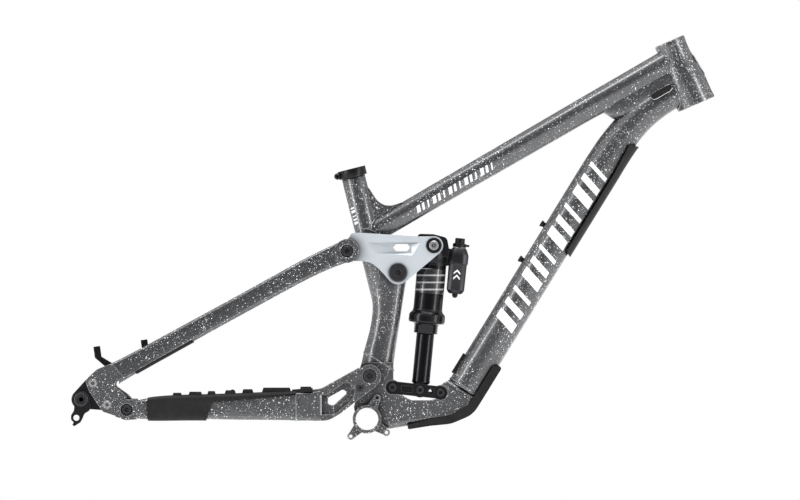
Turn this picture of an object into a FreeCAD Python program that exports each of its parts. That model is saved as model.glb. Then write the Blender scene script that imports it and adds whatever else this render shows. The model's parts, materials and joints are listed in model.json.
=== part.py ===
"""Full-suspension mountain bike frame with air shock, four-bar rear end and rocker link.

Millimetres. +X points forward, +Y to the rider's left, +Z up. The origin is the centre of the
bottom bracket shell. Each sub-part is one STEP file in parts/, in its own closed solid or solids.
"""
import FreeCAD
import Part
import math
import os

V = FreeCAD.Vector
os.makedirs("parts", exist_ok=True)

# ---------------------------------------------------------------- driving dimensions
# Pivots and hard points, as (x, z) in the frame's middle plane
MAIN_PIVOT = (4.0, 67.0)
HORST_PIVOT = (-371.5, 15.0)
STAY_PIVOT = (-31.0, 260.5)
ROCKER_PIVOT = (48.0, 227.0)
SHOCK_TOP = (103.5, 269.0)
SHOCK_LENGTH = 225.0
SHOCK_LEAN = 5.4                     # degrees from vertical, top forward
REAR_AXLE = (-442.0, 31.0)

# Standard interfaces
BB_WIDTH = 73.0
BB_BORE_R = 17.4
BB_SHELL_R = 22.2
HEAD_ANGLE = 66.5
HEAD_BOTTOM = (511.0, 487.5)
HEAD_LENGTH = 107.0
HEAD_UPPER_BORE_R = 22.0
HEAD_LOWER_BORE_R = 28.0
HEAD_BORE_DEPTH = 14.0
SEAT_ANGLE = 76.0
SEAT_TOP = (-23.4, 384.0)
SEAT_TUBE_R = 18.2
SEATPOST_BORE_R = 15.8
SEAT_TUBE_LENGTH = 226.0
HUB_HALF_WIDTH = 74.0
AXLE_R = 6.0
PIVOT_AXLE_R = 7.45
ISCG_R = 36.5
ISCG_ANGLES = (64.7, 226.7, 325.6)
POST_MOUNT_SPACING = 74.2

# Tubes
TOP_TUBE_ANGLE = 30.24
TOP_TUBE_WALL = 2.0
DOWN_TUBE_ANGLE = 58.34
DOWN_TUBE_HALF_DEPTH = 27.0
DOWN_TUBE_HALF_WIDTH = 26.0
DOWN_TUBE_WALL = 2.2

# Sideways layers, as distances from the middle plane
ROCKER_IN, ROCKER_OUT = 27.0, 35.4
STAY_EYE_IN, STAY_EYE_OUT = 36.0, 47.0
FORGING_PIVOT_OUT = 35.5
YOKE_IN, YOKE_OUT = 36.0, 48.0
SHOCK_PLATE_IN, SHOCK_PLATE_OUT = 16.0, 23.0
EAR_OUT = 80.0
INSERT_OUT = 81.5
DROPOUT_OUT = 88.0
CHAINSTAY_EYE_IN, CHAINSTAY_EYE_OUT = 80.4, 90.0

RUN_CLEARANCE = 0.05                 # radial, shaft in bearing
PIVOT_CLEARANCE = 3.8                # radial, at the two pivots where the linkage is opened
SIDES = (("right", -1), ("left", 1))


# ---------------------------------------------------------------- helpers
def save(name, *solids):
    """Writes one node's solids to its own file."""
    shape = solids[0] if len(solids) == 1 else Part.makeCompound(list(solids))
    found = shape.Solids
    clean = found[0] if len(found) == 1 else Part.makeCompound(found)
    clean.exportStep("parts/" + name + ".step")
    print("%-26s solids %d valid %s volume %.0f" % (name, len(found), clean.isValid(), clean.Volume))


def along(origin, degrees, distance):
    """The (x, z) point at a distance from origin, in a direction above +X."""
    a = math.radians(degrees)
    return (origin[0] + distance * math.cos(a), origin[1] + distance * math.sin(a))


def corner(before, at, after, radius):
    """Start, middle and end of the arc that rounds one corner of an outline."""
    a = V(before[0], 0, before[1]) - V(at[0], 0, at[1])
    b = V(after[0], 0, after[1]) - V(at[0], 0, at[1])
    a.normalize()
    b.normalize()
    half = math.acos(max(-1.0, min(1.0, a.dot(b)))) / 2
    reach = radius / math.tan(half)
    p = V(at[0], 0, at[1])
    middle = (a + b)
    middle.normalize()
    centre = p + middle * (radius / math.sin(half))
    return p + a * reach, centre - middle * radius, p + b * reach


def outline(points):
    """A closed XZ wire. Each point is (x, z) for a sharp corner, or (x, z, radius)."""
    edges, ends = [], []
    count = len(points)
    for i, at in enumerate(points):
        if len(at) == 3 and at[2] > 0:
            start, mid, end = corner(points[i - 1], at, points[(i + 1) % count], at[2])
            edges.append(Part.Arc(start, mid, end).toShape())
            ends.append((start, end))
        else:
            p = V(at[0], 0, at[1])
            edges.append(None)
            ends.append((p, p))
    chain = []
    for i in range(count):
        if edges[i] is not None:
            chain.append(edges[i])
        p, q = ends[i][1], ends[(i + 1) % count][0]
        if (q - p).Length > 1e-6:
            chain.append(Part.LineSegment(p, q).toShape())
    return Part.Wire(chain)


def prism(wire, y0, y1):
    """An XZ wire pushed from y0 to y1."""
    low, high = min(y0, y1), max(y0, y1)
    face = Part.Face(wire)
    face.translate(V(0, low, 0))
    return face.extrude(V(0, high - low, 0))


def rod(at, radius, y0, y1):
    """A cylinder across the frame, round (x, z)."""
    low, high = min(y0, y1), max(y0, y1)
    return Part.makeCylinder(radius, high - low, V(at[0], low, at[1]), V(0, 1, 0))


def ring(at, outer, inner, y0, y1):
    return rod(at, outer, y0, y1).cut(rod(at, inner, y0 - 1 if y0 < y1 else y0 + 1,
                                          y1 + 1 if y0 < y1 else y1 - 1))


def sloped_block(first, second, y_first, y_second):
    """A solid with sloping walls between two outlines of the same kind, at two distances sideways."""
    wires = []
    for points, y in ((first, y_first), (second, y_second)):
        wire = outline(points)
        wire.translate(V(0, y, 0))
        wires.append(wire)
    return Part.makeLoft(wires, True, True)


def chamfered_disc(at, radius, y_in, y_out, bevel):
    """A disc whose outer rim is bevelled on the y_out side."""
    s = 1 if y_out > y_in else -1
    profile = Part.makePolygon([V(0, y_in, 0), V(radius, y_in, 0), V(radius, y_out - s * bevel, 0),
                                V(radius - bevel, y_out, 0), V(0, y_out, 0), V(0, y_in, 0)])
    body = Part.Face(profile).revolve(V(0, 0, 0), V(0, 1, 0), 360)
    body.translate(V(at[0], 0, at[1]))
    return body


def hex_socket(at, across, y_bottom, y_mouth):
    """A hexagonal key socket, to cut from a bolt head."""
    r = across / math.sqrt(3)
    pts = [(at[0] + r * math.cos(math.radians(60 * k)), at[1] + r * math.sin(math.radians(60 * k)))
           for k in range(6)]
    return prism(outline(pts), y_bottom, y_mouth)


def rounded_section(centre, degrees, half_depth, half_width, radius):
    """A rounded rectangle across a tube that runs at an angle above +X in the XZ plane."""
    a = math.radians(degrees)
    up = V(-math.sin(a), 0, math.cos(a))
    side = V(0, 1, 0)
    c = V(centre[0], centre[2] if len(centre) == 3 else 0, centre[1])
    h, w, r = half_depth, half_width, min(radius, half_depth - 0.2, half_width - 0.2)
    k = r * (1 - math.sqrt(0.5))

    def p(u, v):
        return c + up * u + side * v

    return Part.Wire([
        Part.LineSegment(p(h, -w + r), p(h, w - r)).toShape(),
        Part.Arc(p(h, w - r), p(h - k, w - k), p(h - r, w)).toShape(),
        Part.LineSegment(p(h - r, w), p(-h + r, w)).toShape(),
        Part.Arc(p(-h + r, w), p(-h + k, w - k), p(-h, w - r)).toShape(),
        Part.LineSegment(p(-h, w - r), p(-h, -w + r)).toShape(),
        Part.Arc(p(-h, -w + r), p(-h + k, -w + k), p(-h + r, -w)).toShape(),
        Part.LineSegment(p(-h + r, -w), p(h - r, -w)).toShape(),
        Part.Arc(p(h - r, -w), p(h - k, -w + k), p(h, -w + r)).toShape(),
    ])


def loft(sections):
    """A smooth solid through rounded sections: (centre, degrees, half depth, half width, radius)."""
    return Part.makeLoft([rounded_section(*s) for s in sections], True, False)


def thinner(sections, wall):
    """The same sections, smaller by a wall all round."""
    return [(c, a, h - wall, w - wall, max(r - wall, 1.5)) for c, a, h, w, r in sections]


def past_ends(sections, reach):
    """The same sections with the first and the last moved outwards, so that a cut goes right through."""
    first, last = list(sections[0]), list(sections[-1])
    first[0] = along(first[0], first[1] + 180, reach)
    last[0] = along(last[0], last[1], reach)
    return [tuple(first)] + sections[1:-1] + [tuple(last)]


def turned(profile, base, direction):
    """A solid of revolution. The profile is (radius, height) pairs, and height runs along direction."""
    wire = Part.makePolygon([V(r, 0, h) for r, h in profile] + [V(profile[0][0], 0, profile[0][1])])
    body = Part.Face(wire).revolve(V(0, 0, 0), V(0, 0, 1), 360)
    body.Placement = FreeCAD.Placement(base, FreeCAD.Rotation(V(0, 0, 1), direction))
    return body


def bolt(at, shank_r, head_r, y_tip, y_head, head_thick, key):
    """A socket screw across the frame, with its head at y_head, as one solid."""
    s = 1 if y_head > y_tip else -1
    body = rod(at, shank_r, y_tip, y_head - s * head_thick)
    head = chamfered_disc(at, head_r, y_head - s * head_thick, y_head, 0.8)
    return body.fuse(head).removeSplitter().cut(hex_socket(at, key, y_head - s * 3.0, y_head + s))


def bearing(at, outer, inner, y0, y1):
    """A sealed cartridge bearing: outer race, seal ring and inner race, as touching solids."""
    third = (outer - inner) / 3
    races = [ring(at, outer, outer - third, y0, y1), ring(at, inner + third, inner, y0, y1)]
    inset = 0.5 if y1 > y0 else -0.5
    return races + [ring(at, outer - third, inner + third, y0 + inset, y1 - inset)]


def bearing_pair(at, outer, inner, start, thick):
    """One bearing each side of the frame, from a distance outwards."""
    return [part for _, side in SIDES
            for part in bearing(at, outer, inner, side * start, side * (start + thick))]


# ---------------------------------------------------------------- front triangle
HEAD_DIR = V(-math.cos(math.radians(HEAD_ANGLE)), 0, math.sin(math.radians(HEAD_ANGLE)))
HEAD_BASE = V(HEAD_BOTTOM[0], 0, HEAD_BOTTOM[1])
SEAT_DOWN = V(math.cos(math.radians(SEAT_ANGLE)), 0, -math.sin(math.radians(SEAT_ANGLE)))
SEAT_BASE = V(SEAT_TOP[0], 0, SEAT_TOP[1])
SHOCK_BOTTOM = along(SHOCK_TOP, -90 - SHOCK_LEAN, SHOCK_LENGTH)
SHOCK_UP = V(math.sin(math.radians(SHOCK_LEAN)), 0, math.cos(math.radians(SHOCK_LEAN)))
SHOCK_FOOT = V(SHOCK_BOTTOM[0], 0, SHOCK_BOTTOM[1])
TOP_TUBE_MID = (55.3, 315.0)
DOWN_TUBE_FOOT = (150.6, 46.4)
DOWN_TUBE_STRAIGHT = 405.0
DOWN_TUBE_BEND = [(392.0, 434.0), (424.0, 470.0), (462.0, 497.5), (505.0, 517.0)]
BEND_STEPS = 14


def seat_point(distance):
    """The (x, z) point on the seat tube's axis, a distance below its top."""
    p = SEAT_BASE + SEAT_DOWN * distance
    return (p.x, p.z)


def head_tube_outer():
    return turned([(0, 0), (30.4, 0), (30.4, 34), (27.2, 60), (24.2, 78), (24.2, HEAD_LENGTH),
                   (0, HEAD_LENGTH)], HEAD_BASE, HEAD_DIR)


def head_tube():
    top = HEAD_LENGTH - HEAD_BORE_DEPTH
    bore = turned([(0, -1), (HEAD_LOWER_BORE_R, -1), (HEAD_LOWER_BORE_R, HEAD_BORE_DEPTH),
                   (26.0, HEAD_BORE_DEPTH), (24.0, 40), (20.5, 70), (20.5, top),
                   (HEAD_UPPER_BORE_R, top), (HEAD_UPPER_BORE_R, HEAD_LENGTH + 1),
                   (0, HEAD_LENGTH + 1)], HEAD_BASE, HEAD_DIR)
    return head_tube_outer().cut(bore)


def seat_tube_solid():
    return Part.makeCylinder(SEAT_TUBE_R, SEAT_TUBE_LENGTH, SEAT_BASE, SEAT_DOWN)


def seat_tube():
    bore = Part.makeCylinder(SEATPOST_BORE_R, SEAT_TUBE_LENGTH + 2, SEAT_BASE - SEAT_DOWN, SEAT_DOWN)
    slot = Part.makeBox(3.0, 3.0, 24.0, V(-1.5, -SEAT_TUBE_R - 1, -23.0))
    slot.Placement = FreeCAD.Placement(SEAT_BASE, FreeCAD.Rotation(V(0, 1, 0), -(90 - SEAT_ANGLE))
                                       .multiply(FreeCAD.Rotation(V(0, 0, 1), -90)))
    return seat_tube_solid().cut(bore).cut(slot)


MAST = [  # (z, rear x, front x, half width)
    (285.0, -17.0, 36.0, 19.0), (268.0, -13.0, 37.0, 19.5), (256.0, -9.8, 39.0, 20.0),
    (243.0, -6.2, 54.0, 20.5), (222.0, 0.2, 61.2, 21.0),
    (200.0, 5.0, 58.2, 21.0), (172.0, 8.8, 54.0, 21.0), (141.0, 5.0, 49.2, 22.0),
    (107.0, -3.9, 44.0, 24.0), (88.0, -8.2, 41.0, 25.5)]
MAST_WALL = 2.6


def mast_sections(inset):
    return [(((rear + front) / 2, z), 90, (front - rear) / 2 - inset, half - inset,
             min(half, (front - rear) / 2) * 0.72) for z, rear, front, half in MAST]


def seat_mast():
    """The wide lower seat tube, hollow, with the rocker pivot's boss through it."""
    shell = loft(mast_sections(0))
    boss = rod(ROCKER_PIVOT, 13.0, -ROCKER_IN + 0.3, ROCKER_IN - 0.3)
    hollow = loft([(c, a, h, w, r) for c, a, h, w, r in mast_sections(MAST_WALL)][1:])
    body = shell.cut(hollow).fuse(boss)
    body = body.cut(seat_tube_solid())
    return body.cut(rod(ROCKER_PIVOT, 7.5, -40, 40))


TOP_TUBE = [  # distance along the axis, drop below it, half depth, half width, corner radius
    (-75.0, -1.2, 17.4, 16.6, 13.0), (-42.0, -1.2, 17.4, 17.2, 13.0), (0.0, -1.2, 17.4, 18.6, 13.0),
    (180.0, -0.5, 18.2, 20.5, 13.0), (330.0, 0.0, 18.9, 22.0, 13.0), (349.0, 0.3, 19.1, 22.2, 13.0),
    (358.0, 8.5, 27.2, 22.3, 13.0), (372.0, 12.0, 30.6, 22.5, 13.0), (392.0, 13.0, 31.6, 22.8, 13.0),
    (430.0, 10.6, 29.2, 22.8, 13.0), (492.0, 10.6, 29.2, 22.0, 12.0)]


def top_tube_sections(inset):
    """From inside the seat tube to inside the head tube, deepening over the down tube's bend."""
    sections = []
    for reach, drop, half_depth, half_width, radius in TOP_TUBE:
        centre = along(along(TOP_TUBE_MID, TOP_TUBE_ANGLE, reach), TOP_TUBE_ANGLE - 90, drop)
        sections.append((centre, TOP_TUBE_ANGLE, half_depth - inset, half_width - inset, radius - inset))
    return sections


def top_tube_solid(inset=0.0):
    """Straight between its sections, so that the tube stays straight up to where it deepens."""
    sections = top_tube_sections(inset)
    if inset:
        sections = past_ends(sections, 3.0)
    return Part.makeLoft([rounded_section(*s) for s in sections], True, True)


def top_tube():
    outer = top_tube_solid().cut(head_tube_outer()).cut(down_tube_solid())
    outer = outer.cut(seat_tube_solid()).cut(loft(mast_sections(0)))
    tube = sorted(outer.Solids, key=lambda s: -s.Volume)[0].cut(top_tube_solid(TOP_TUBE_WALL))
    return sorted(tube.Solids, key=lambda s: -s.Volume)[0]


def down_tube_sections(inset):
    """Straight from the lower forging, then curving forward into the head tube."""
    start = along(DOWN_TUBE_FOOT, DOWN_TUBE_ANGLE, DOWN_TUBE_STRAIGHT)
    direction = V(math.cos(math.radians(DOWN_TUBE_ANGLE)), 0, math.sin(math.radians(DOWN_TUBE_ANGLE)))
    path = Part.BSplineCurve()
    path.interpolate(Points=[V(x, 0, z) for x, z in [start] + DOWN_TUBE_BEND],
                     InitialTangent=direction * 30, FinalTangent=V(40, 0, 16))
    sections = [(DOWN_TUBE_FOOT, DOWN_TUBE_ANGLE, DOWN_TUBE_HALF_DEPTH - inset,
                 DOWN_TUBE_HALF_WIDTH - inset, 15 - inset)]
    for i in range(BEND_STEPS + 1):
        t = i / BEND_STEPS
        u = path.FirstParameter + t * (path.LastParameter - path.FirstParameter)
        p, tangent = path.value(u), path.tangent(u)[0]
        angle = math.degrees(math.atan2(tangent.z, tangent.x))
        sections.append(((p.x, p.z), angle, DOWN_TUBE_HALF_DEPTH - 5.0 * t - inset,
                         DOWN_TUBE_HALF_WIDTH - 3.0 * t * t - inset, 15 - t - inset))
    return sections


def down_tube_solid(inset=0.0):
    sections = down_tube_sections(inset)
    if inset:
        sections = past_ends(sections, 3.0)
    return Part.makeLoft([rounded_section(*s) for s in sections], True, True)


def down_tube():
    shell = down_tube_solid().cut(down_tube_solid(DOWN_TUBE_WALL)).cut(head_tube_outer())
    return sorted(shell.Solids, key=lambda s: -s.Volume)[0]


GUSSET_HALF_WIDTH, GUSSET_FLAT_HALF_WIDTH = 15.5, 9.0
GUSSET_CREST = [(-10.0, 366.0), (0.2, 362.5, 30), (24.0, 326.0, 26), (62.0, 338.5)]
GUSSET_SHOULDER = [(-14.0, 361.0), (-4.8, 358.0, 30), (20.5, 319.5, 26), (62.0, 332.5)]
GUSSET_FOOT = [(60.0, 312.0), (0.0, 300.0)]


def seat_gusset():
    """The web that fills the corner between the seat tube and the top tube, sloping off to its sides."""
    web = prism(outline(GUSSET_CREST + GUSSET_FOOT), -GUSSET_FLAT_HALF_WIDTH, GUSSET_FLAT_HALF_WIDTH)
    for side in (-1, 1):
        web = web.fuse(sloped_block(GUSSET_CREST + GUSSET_FOOT, GUSSET_SHOULDER + GUSSET_FOOT,
                                    side * GUSSET_FLAT_HALF_WIDTH, side * GUSSET_HALF_WIDTH))
    web = web.cut(seat_tube_solid()).cut(top_tube_solid()).cut(loft(mast_sections(0)))
    return sorted(web.Solids, key=lambda s: -s.Volume)[0]


SHOCK_MOUNT_BOLTS = ((39.5, 49.0), (114.0, 40.8))
SHOCK_BAR_END_R = 9.6
SHOCK_PLATE_WINDOW = [(94.6, 42.6, 0.6), (100.6, 42.2, 0.6), (98.2, 46.8, 0.6)]

# The lower forging joins the seat mast, the bottom bracket shell and the down tube
FORGING_REAR = [(-8.2, 88.0), (-13.0, 72.0, 12), (-13.0, 50.0, 30), (-20.5, 18.0, 10), (-16.0, 0.0)]
FORGING_BOTTOM = [(10.0, -14.0), (35.7, -15.2, 6), (62.8, -10.5, 60), (98.0, -5.2, 80),
                  (128.0, -2.4, 50), (158.0, 12.0, 40)]
FORGING_TOP = [(112.0, 52.0, 14), (112.0, 32.0, 10), (98.0, 29.0, 8), (68.0, 29.0, 16),
               (46.0, 42.0, 8), (41.0, 62.0, 12), (41.0, 88.0)]


def forging_ends():
    """Where the down tube's foot plane crosses its inner and outer edges."""
    outer = along(DOWN_TUBE_FOOT, DOWN_TUBE_ANGLE - 90, DOWN_TUBE_HALF_DEPTH)
    inner = along(DOWN_TUBE_FOOT, DOWN_TUBE_ANGLE + 90, DOWN_TUBE_HALF_DEPTH)
    return outer, inner


def forging_outline():
    outer, inner = forging_ends()
    return outline(FORGING_REAR + FORGING_BOTTOM + [outer, inner] + FORGING_TOP)


def forging_block():
    """The forging's outside, rounded along its bottom edges."""
    body = prism(forging_outline(), -DOWN_TUBE_HALF_WIDTH, DOWN_TUBE_HALF_WIDTH)
    low = [e for e in body.Edges if abs(abs(e.CenterOfMass.y) - DOWN_TUBE_HALF_WIDTH) < 0.1
           and e.CenterOfMass.x > 30 and e.CenterOfMass.z < 0.58 * e.CenterOfMass.x - 40]
    return body.makeFillet(9.0, low)


def lower_forging():
    """Hollow body with a main pivot boss and two shock mount lugs."""
    body = forging_block()
    core = Part.Face(forging_outline()).makeOffset2D(-4.0)
    core.translate(V(0, -DOWN_TUBE_HALF_WIDTH + 4.0, 0))
    body = body.cut(core.extrude(V(0, 2 * DOWN_TUBE_HALF_WIDTH - 8.0, 0)))
    pivot_boss = rod(MAIN_PIVOT, 15.0, -FORGING_PIVOT_OUT, FORGING_PIVOT_OUT)
    body = body.fuse(pivot_boss)
    for lug in SHOCK_MOUNT_BOLTS:
        body = body.cut(rod(lug, 11.0, SHOCK_PLATE_IN - 0.2, 40))
        body = body.cut(rod(lug, 11.0, -SHOCK_PLATE_IN + 0.2, -40))
        body = body.fuse(rod(lug, 9.0, -SHOCK_PLATE_IN + 0.2, SHOCK_PLATE_IN - 0.2))
    bar = shock_plate_outline(0.2)
    for s in (-1, 1):
        body = body.cut(prism(bar, s * (SHOCK_PLATE_IN - 0.2), s * 40))
    body = body.cut(rod((0, 0), BB_SHELL_R, -50, 50))
    body = body.cut(rod(MAIN_PIVOT, 7.5, -60, 60))
    for lug in SHOCK_MOUNT_BOLTS:
        body = body.cut(rod(lug, 4.0, -50, 50))
    return sorted(body.Solids, key=lambda s: -s.Volume)[0]


def shock_plate_outline(grow):
    """Side outline of one lower shock mount plate, round at both ends."""
    a, b = SHOCK_MOUNT_BOLTS
    lean = math.degrees(math.atan2(b[1] - a[1], b[0] - a[0]))
    h = SHOCK_BAR_END_R + grow
    return outline([along(along(a, lean + 180, h), lean - 90, h) + (h - 0.05,),
                    along(along(b, lean, h), lean - 90, h) + (h - 0.05,),
                    along(along(b, lean, h), lean + 90, h) + (h - 0.05,),
                    along(along(a, lean + 180, h), lean + 90, h) + (h - 0.05,)])


def shock_plate(side):
    a, b = SHOCK_MOUNT_BOLTS
    lean = math.degrees(math.atan2(b[1] - a[1], b[0] - a[0]))
    plate = prism(shock_plate_outline(0), side * SHOCK_PLATE_IN, side * SHOCK_PLATE_OUT)
    for start, length in ((13.5, 18.0), (56.5, 8.5)):
        mid = along(a, lean, start + length / 2)
        pocket = outline([along(along(mid, lean, dx * length / 2), lean + 90, dz * 5.0) + (2.0,)
                          for dx, dz in ((-1, -1), (1, -1), (1, 1), (-1, 1))])
        plate = plate.cut(prism(pocket, side * (SHOCK_PLATE_OUT - 2.5), side * 40))
    plate = plate.cut(prism(outline(SHOCK_PLATE_WINDOW), side * 10, side * 40))
    for hole in (a, b, SHOCK_BOTTOM):
        plate = plate.cut(rod(hole, 4.0, -50, 50))
    return plate


def shock_plate_bolt(at):
    """A bolt through both mount plates, its head on the right."""
    return bolt(at, 3.95, 6.2, SHOCK_PLATE_OUT - 1.0, -SHOCK_PLATE_OUT - 2.6, 2.6, 5.0)


def bb_shell():
    return ring((0, 0), BB_SHELL_R, BB_BORE_R, -BB_WIDTH / 2, BB_WIDTH / 2)


def iscg_tabs():
    """Three drilled tabs for a chain guide, on the right face of the shell."""
    tabs = []
    y0, y1 = -33.5, -27.0
    for angle in ISCG_ANGLES:
        centre = along((0, 0), angle, ISCG_R)
        arm = outline([along(along((0, 0), angle + 90, 9), angle, 18),
                       along(along((0, 0), angle - 90, 9), angle, 18),
                       along(along(centre, angle - 90, 5.2), angle, 0),
                       along(along(centre, angle + 90, 5.2), angle, 0)])
        tab = prism(arm, y0, y1).fuse(rod(centre, 5.6, y0, y1)).removeSplitter()
        tab = tab.fuse(rod(centre, 4.4, y0 - 0.9, y0)).cut(rod((0, 0), BB_SHELL_R, -60, 60))
        tab = tab.cut(rod(centre, 2.5, -60, 60))
        tabs.append(sorted(tab.Solids, key=lambda s: -s.Volume)[0])
    return tabs


def pivot_axle(at, radius, half, cap_r, cap_in, cap_out):
    """A through axle with a keyed cap on each side."""
    body = rod(at, radius, -half, half)
    for s in (-1, 1):
        body = body.fuse(chamfered_disc(at, cap_r, s * cap_in, s * cap_out, 0.8))
        body = body.cut(hex_socket(at, 8.0, s * (cap_out - 4.0), s * (cap_out + 1)))
    return body


def seat_clamp():
    """Split collar with two ears behind the seat tube."""
    top, height, thick = SEAT_BASE - SEAT_DOWN * 4.0, 13.0, 3.6
    lift = FreeCAD.Rotation(V(-SEAT_DOWN.z, 0, SEAT_DOWN.x), V(0, -1, 0), SEAT_DOWN, "ZXY")
    body = Part.makeCylinder(SEAT_TUBE_R + thick, height, top, SEAT_DOWN)
    ears = Part.makeBox(9.5, 19.0, height - 3.0, V(-SEAT_TUBE_R - 5.6, -9.5, 1.5))
    nose = Part.makeCylinder((height - 3.0) / 2, 19.0, V(-SEAT_TUBE_R - 5.6, -9.5, height / 2), V(0, 1, 0))
    lugs = ears.fuse(nose)
    lugs.Placement = FreeCAD.Placement(top, lift)
    body = body.fuse(lugs)
    body = body.cut(Part.makeCylinder(SEAT_TUBE_R, height - 4.0, top + SEAT_DOWN * 4.0, SEAT_DOWN))
    body = body.cut(Part.makeCylinder(SEAT_TUBE_R - 0.8, height + 2, top - SEAT_DOWN, SEAT_DOWN))
    gap = Part.makeBox(26.0, 2.4, height + 2, V(-SEAT_TUBE_R - 18.0, -1.2, -1.0))
    gap.Placement = FreeCAD.Placement(top, lift)
    hole_at = top + lift.multVec(V(-SEAT_TUBE_R - 5.6, 0, height / 2))
    return body.cut(gap).cut(Part.makeCylinder(2.7, 60, hole_at - V(0, 30, 0), V(0, 1, 0))), hole_at


GUARD_THICK = 5.5


def upper_guard():
    """Long moulded guard on the underside of the down tube, up to the bend."""
    start, end, a = 256.0, 459.0, DOWN_TUBE_ANGLE
    shell = down_tube_solid(-GUARD_THICK).cut(down_tube_solid())
    low = along(DOWN_TUBE_FOOT, a - 90, 45)
    keep = outline([along(low, a, start - 2) + (8,), along(low, a, end + 6) + (8,),
                    along(along(low, a, end - 2), a + 90, 26.0) + (5,),
                    along(along(low, a, 405), a + 90, 22.5) + (60,),
                    along(along(low, a, start + 9), a + 90, 22.5) + (5,)])
    return sorted(shell.common(prism(keep, -60, 60)).Solids, key=lambda s: -s.Volume)[0]


def lower_guard():
    """Guard under the bend: follows the forging's bottom and the foot of the down tube."""
    a, depth, into = DOWN_TUBE_ANGLE, DOWN_TUBE_HALF_DEPTH, 8.0
    outer = [along(along(DOWN_TUBE_FOOT, a, d), a - 90, depth + GUARD_THICK) for d in (62.0, -4.0)]
    inner = [along(along(DOWN_TUBE_FOOT, a, d), a - 90, depth - into) for d in (0.0, 54.0)]
    bottom = [(164.0, 7.0, 40), (130.0, -7.4, 50), (98.0, -10.4, 80), (63.5, -16.0, 2.4)]
    top = [(62.5, -8.5, 1.5), (98.0, 0.0), (128.0, -2.4 + into), (155.0, 12.0 + into)]
    half = DOWN_TUBE_HALF_WIDTH + 2.4
    sole = prism(outline([outer[0] + (4,), outer[1] + (30,)] + bottom + top + inner), -half, half)
    sole = sole.cut(down_tube_solid()).cut(forging_block())
    return sorted(sole.Solids, key=lambda s: -s.Volume)[0]


BOTTLE_BOSSES = (217.5, 281.5)


def bottle_inserts():
    """Two flanged threaded inserts on the inside of the down tube, one bottle spacing apart."""
    a = DOWN_TUBE_ANGLE
    up = V(-math.sin(math.radians(a)), 0, math.cos(math.radians(a)))
    found = []
    for d in BOTTLE_BOSSES:
        foot = along(along(DOWN_TUBE_FOOT, a, d), a + 90, DOWN_TUBE_HALF_DEPTH)
        base = V(foot[0], 0, foot[1])
        found.append(turned([(2.1, 0.0), (4.0, 0.0), (4.0, 3.4), (5.0, 3.4), (5.0, 6.4), (4.2, 7.2),
                             (2.1, 7.2)], base, up))
    return found


def cable_door():
    """Low cover over the cable exit on the inside of the down tube."""
    a = DOWN_TUBE_ANGLE
    at = along(DOWN_TUBE_FOOT, a + 90, DOWN_TUBE_HALF_DEPTH)
    base = outline([along(at, a, 12) + (1.2,), along(along(at, a, 12), a + 90, 3.6) + (1.2,),
                    along(along(at, a, 47), a + 90, 3.6) + (1.2,), along(at, a, 47) + (1.2,)])
    return prism(base, -9.0, 9.0).cut(down_tube_solid())


def cable_port(side):
    """Rubber grommet in the slot beside the head tube. Sits proud of the tube by a little."""
    at, lean, half_len, half = (456.3, 506.5), 30.0, 17.5, 4.3
    slot = outline([along(along(at, lean, dx * half_len), lean + 90, dz * half) + (half - 0.05,)
                    for dx, dz in ((-1, -1), (1, -1), (1, 1), (-1, 1))])
    return prism(slot, side * 20.0, side * 25.9)


# ---------------------------------------------------------------- chainstays
def stay_sections(points, side):
    """Lofts a stay: each point is (x, z, y, half depth, half width, degrees)."""
    return [((x, z, side * y), deg, hd, hw, min(hd, hw) * 0.72) for x, z, y, hd, hw, deg in points]


CHAINSTAY = [  # x, z, y, half depth, half width, lean
    (-356.0, 15.0, 85.0, 13.5, 4.6, 0), (-330.0, 16.5, 80.0, 16.5, 7.5, 0),
    (-290.0, 18.0, 69.0, 17.8, 8.8, 0), (-230.0, 18.6, 57.5, 18.8, 9.2, 0),
    (-165.0, 19.3, 50.0, 20.5, 9.2, 0), (-110.0, 19.8, 46.6, 22.2, 8.6, 0)]
YOKE_OUTLINE = [(-110.0, 42.0), (-71.0, 47.0, 20), (-12.9, 79.3), (13.8, 50.5), (-17.8, 26.8),
                (-40.6, 9.1, 60), (-60.0, -2.4, 30), (-110.0, -2.4)]
YOKE_RECESS = [(-80.5, 37.0, 4), (-61.4, 38.8, 6), (-31.6, 58.5, 3), (-17.8, 50.0, 4),
               (-21.0, 31.8, 6), (-48.5, 8.6, 12), (-86.0, 5.0, 5)]
YOKE_RECESS_CENTRE, YOKE_RECESS_TAPER = (-50.0, 32.0), 0.80
YOKE_RECESS_FLOOR = [(YOKE_RECESS_CENTRE[0] + (x - YOKE_RECESS_CENTRE[0]) * YOKE_RECESS_TAPER,
                      YOKE_RECESS_CENTRE[1] + (z - YOKE_RECESS_CENTRE[1]) * YOKE_RECESS_TAPER,
                      r * YOKE_RECESS_TAPER) for x, z, r in YOKE_RECESS]
YOKE_HOLE = [(-60.3, 33.2, 3), (-37.0, 46.2, 4), (-29.8, 41.0, 4), (-52.4, 20.4, 5), (-60.8, 23.0, 4)]


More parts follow.
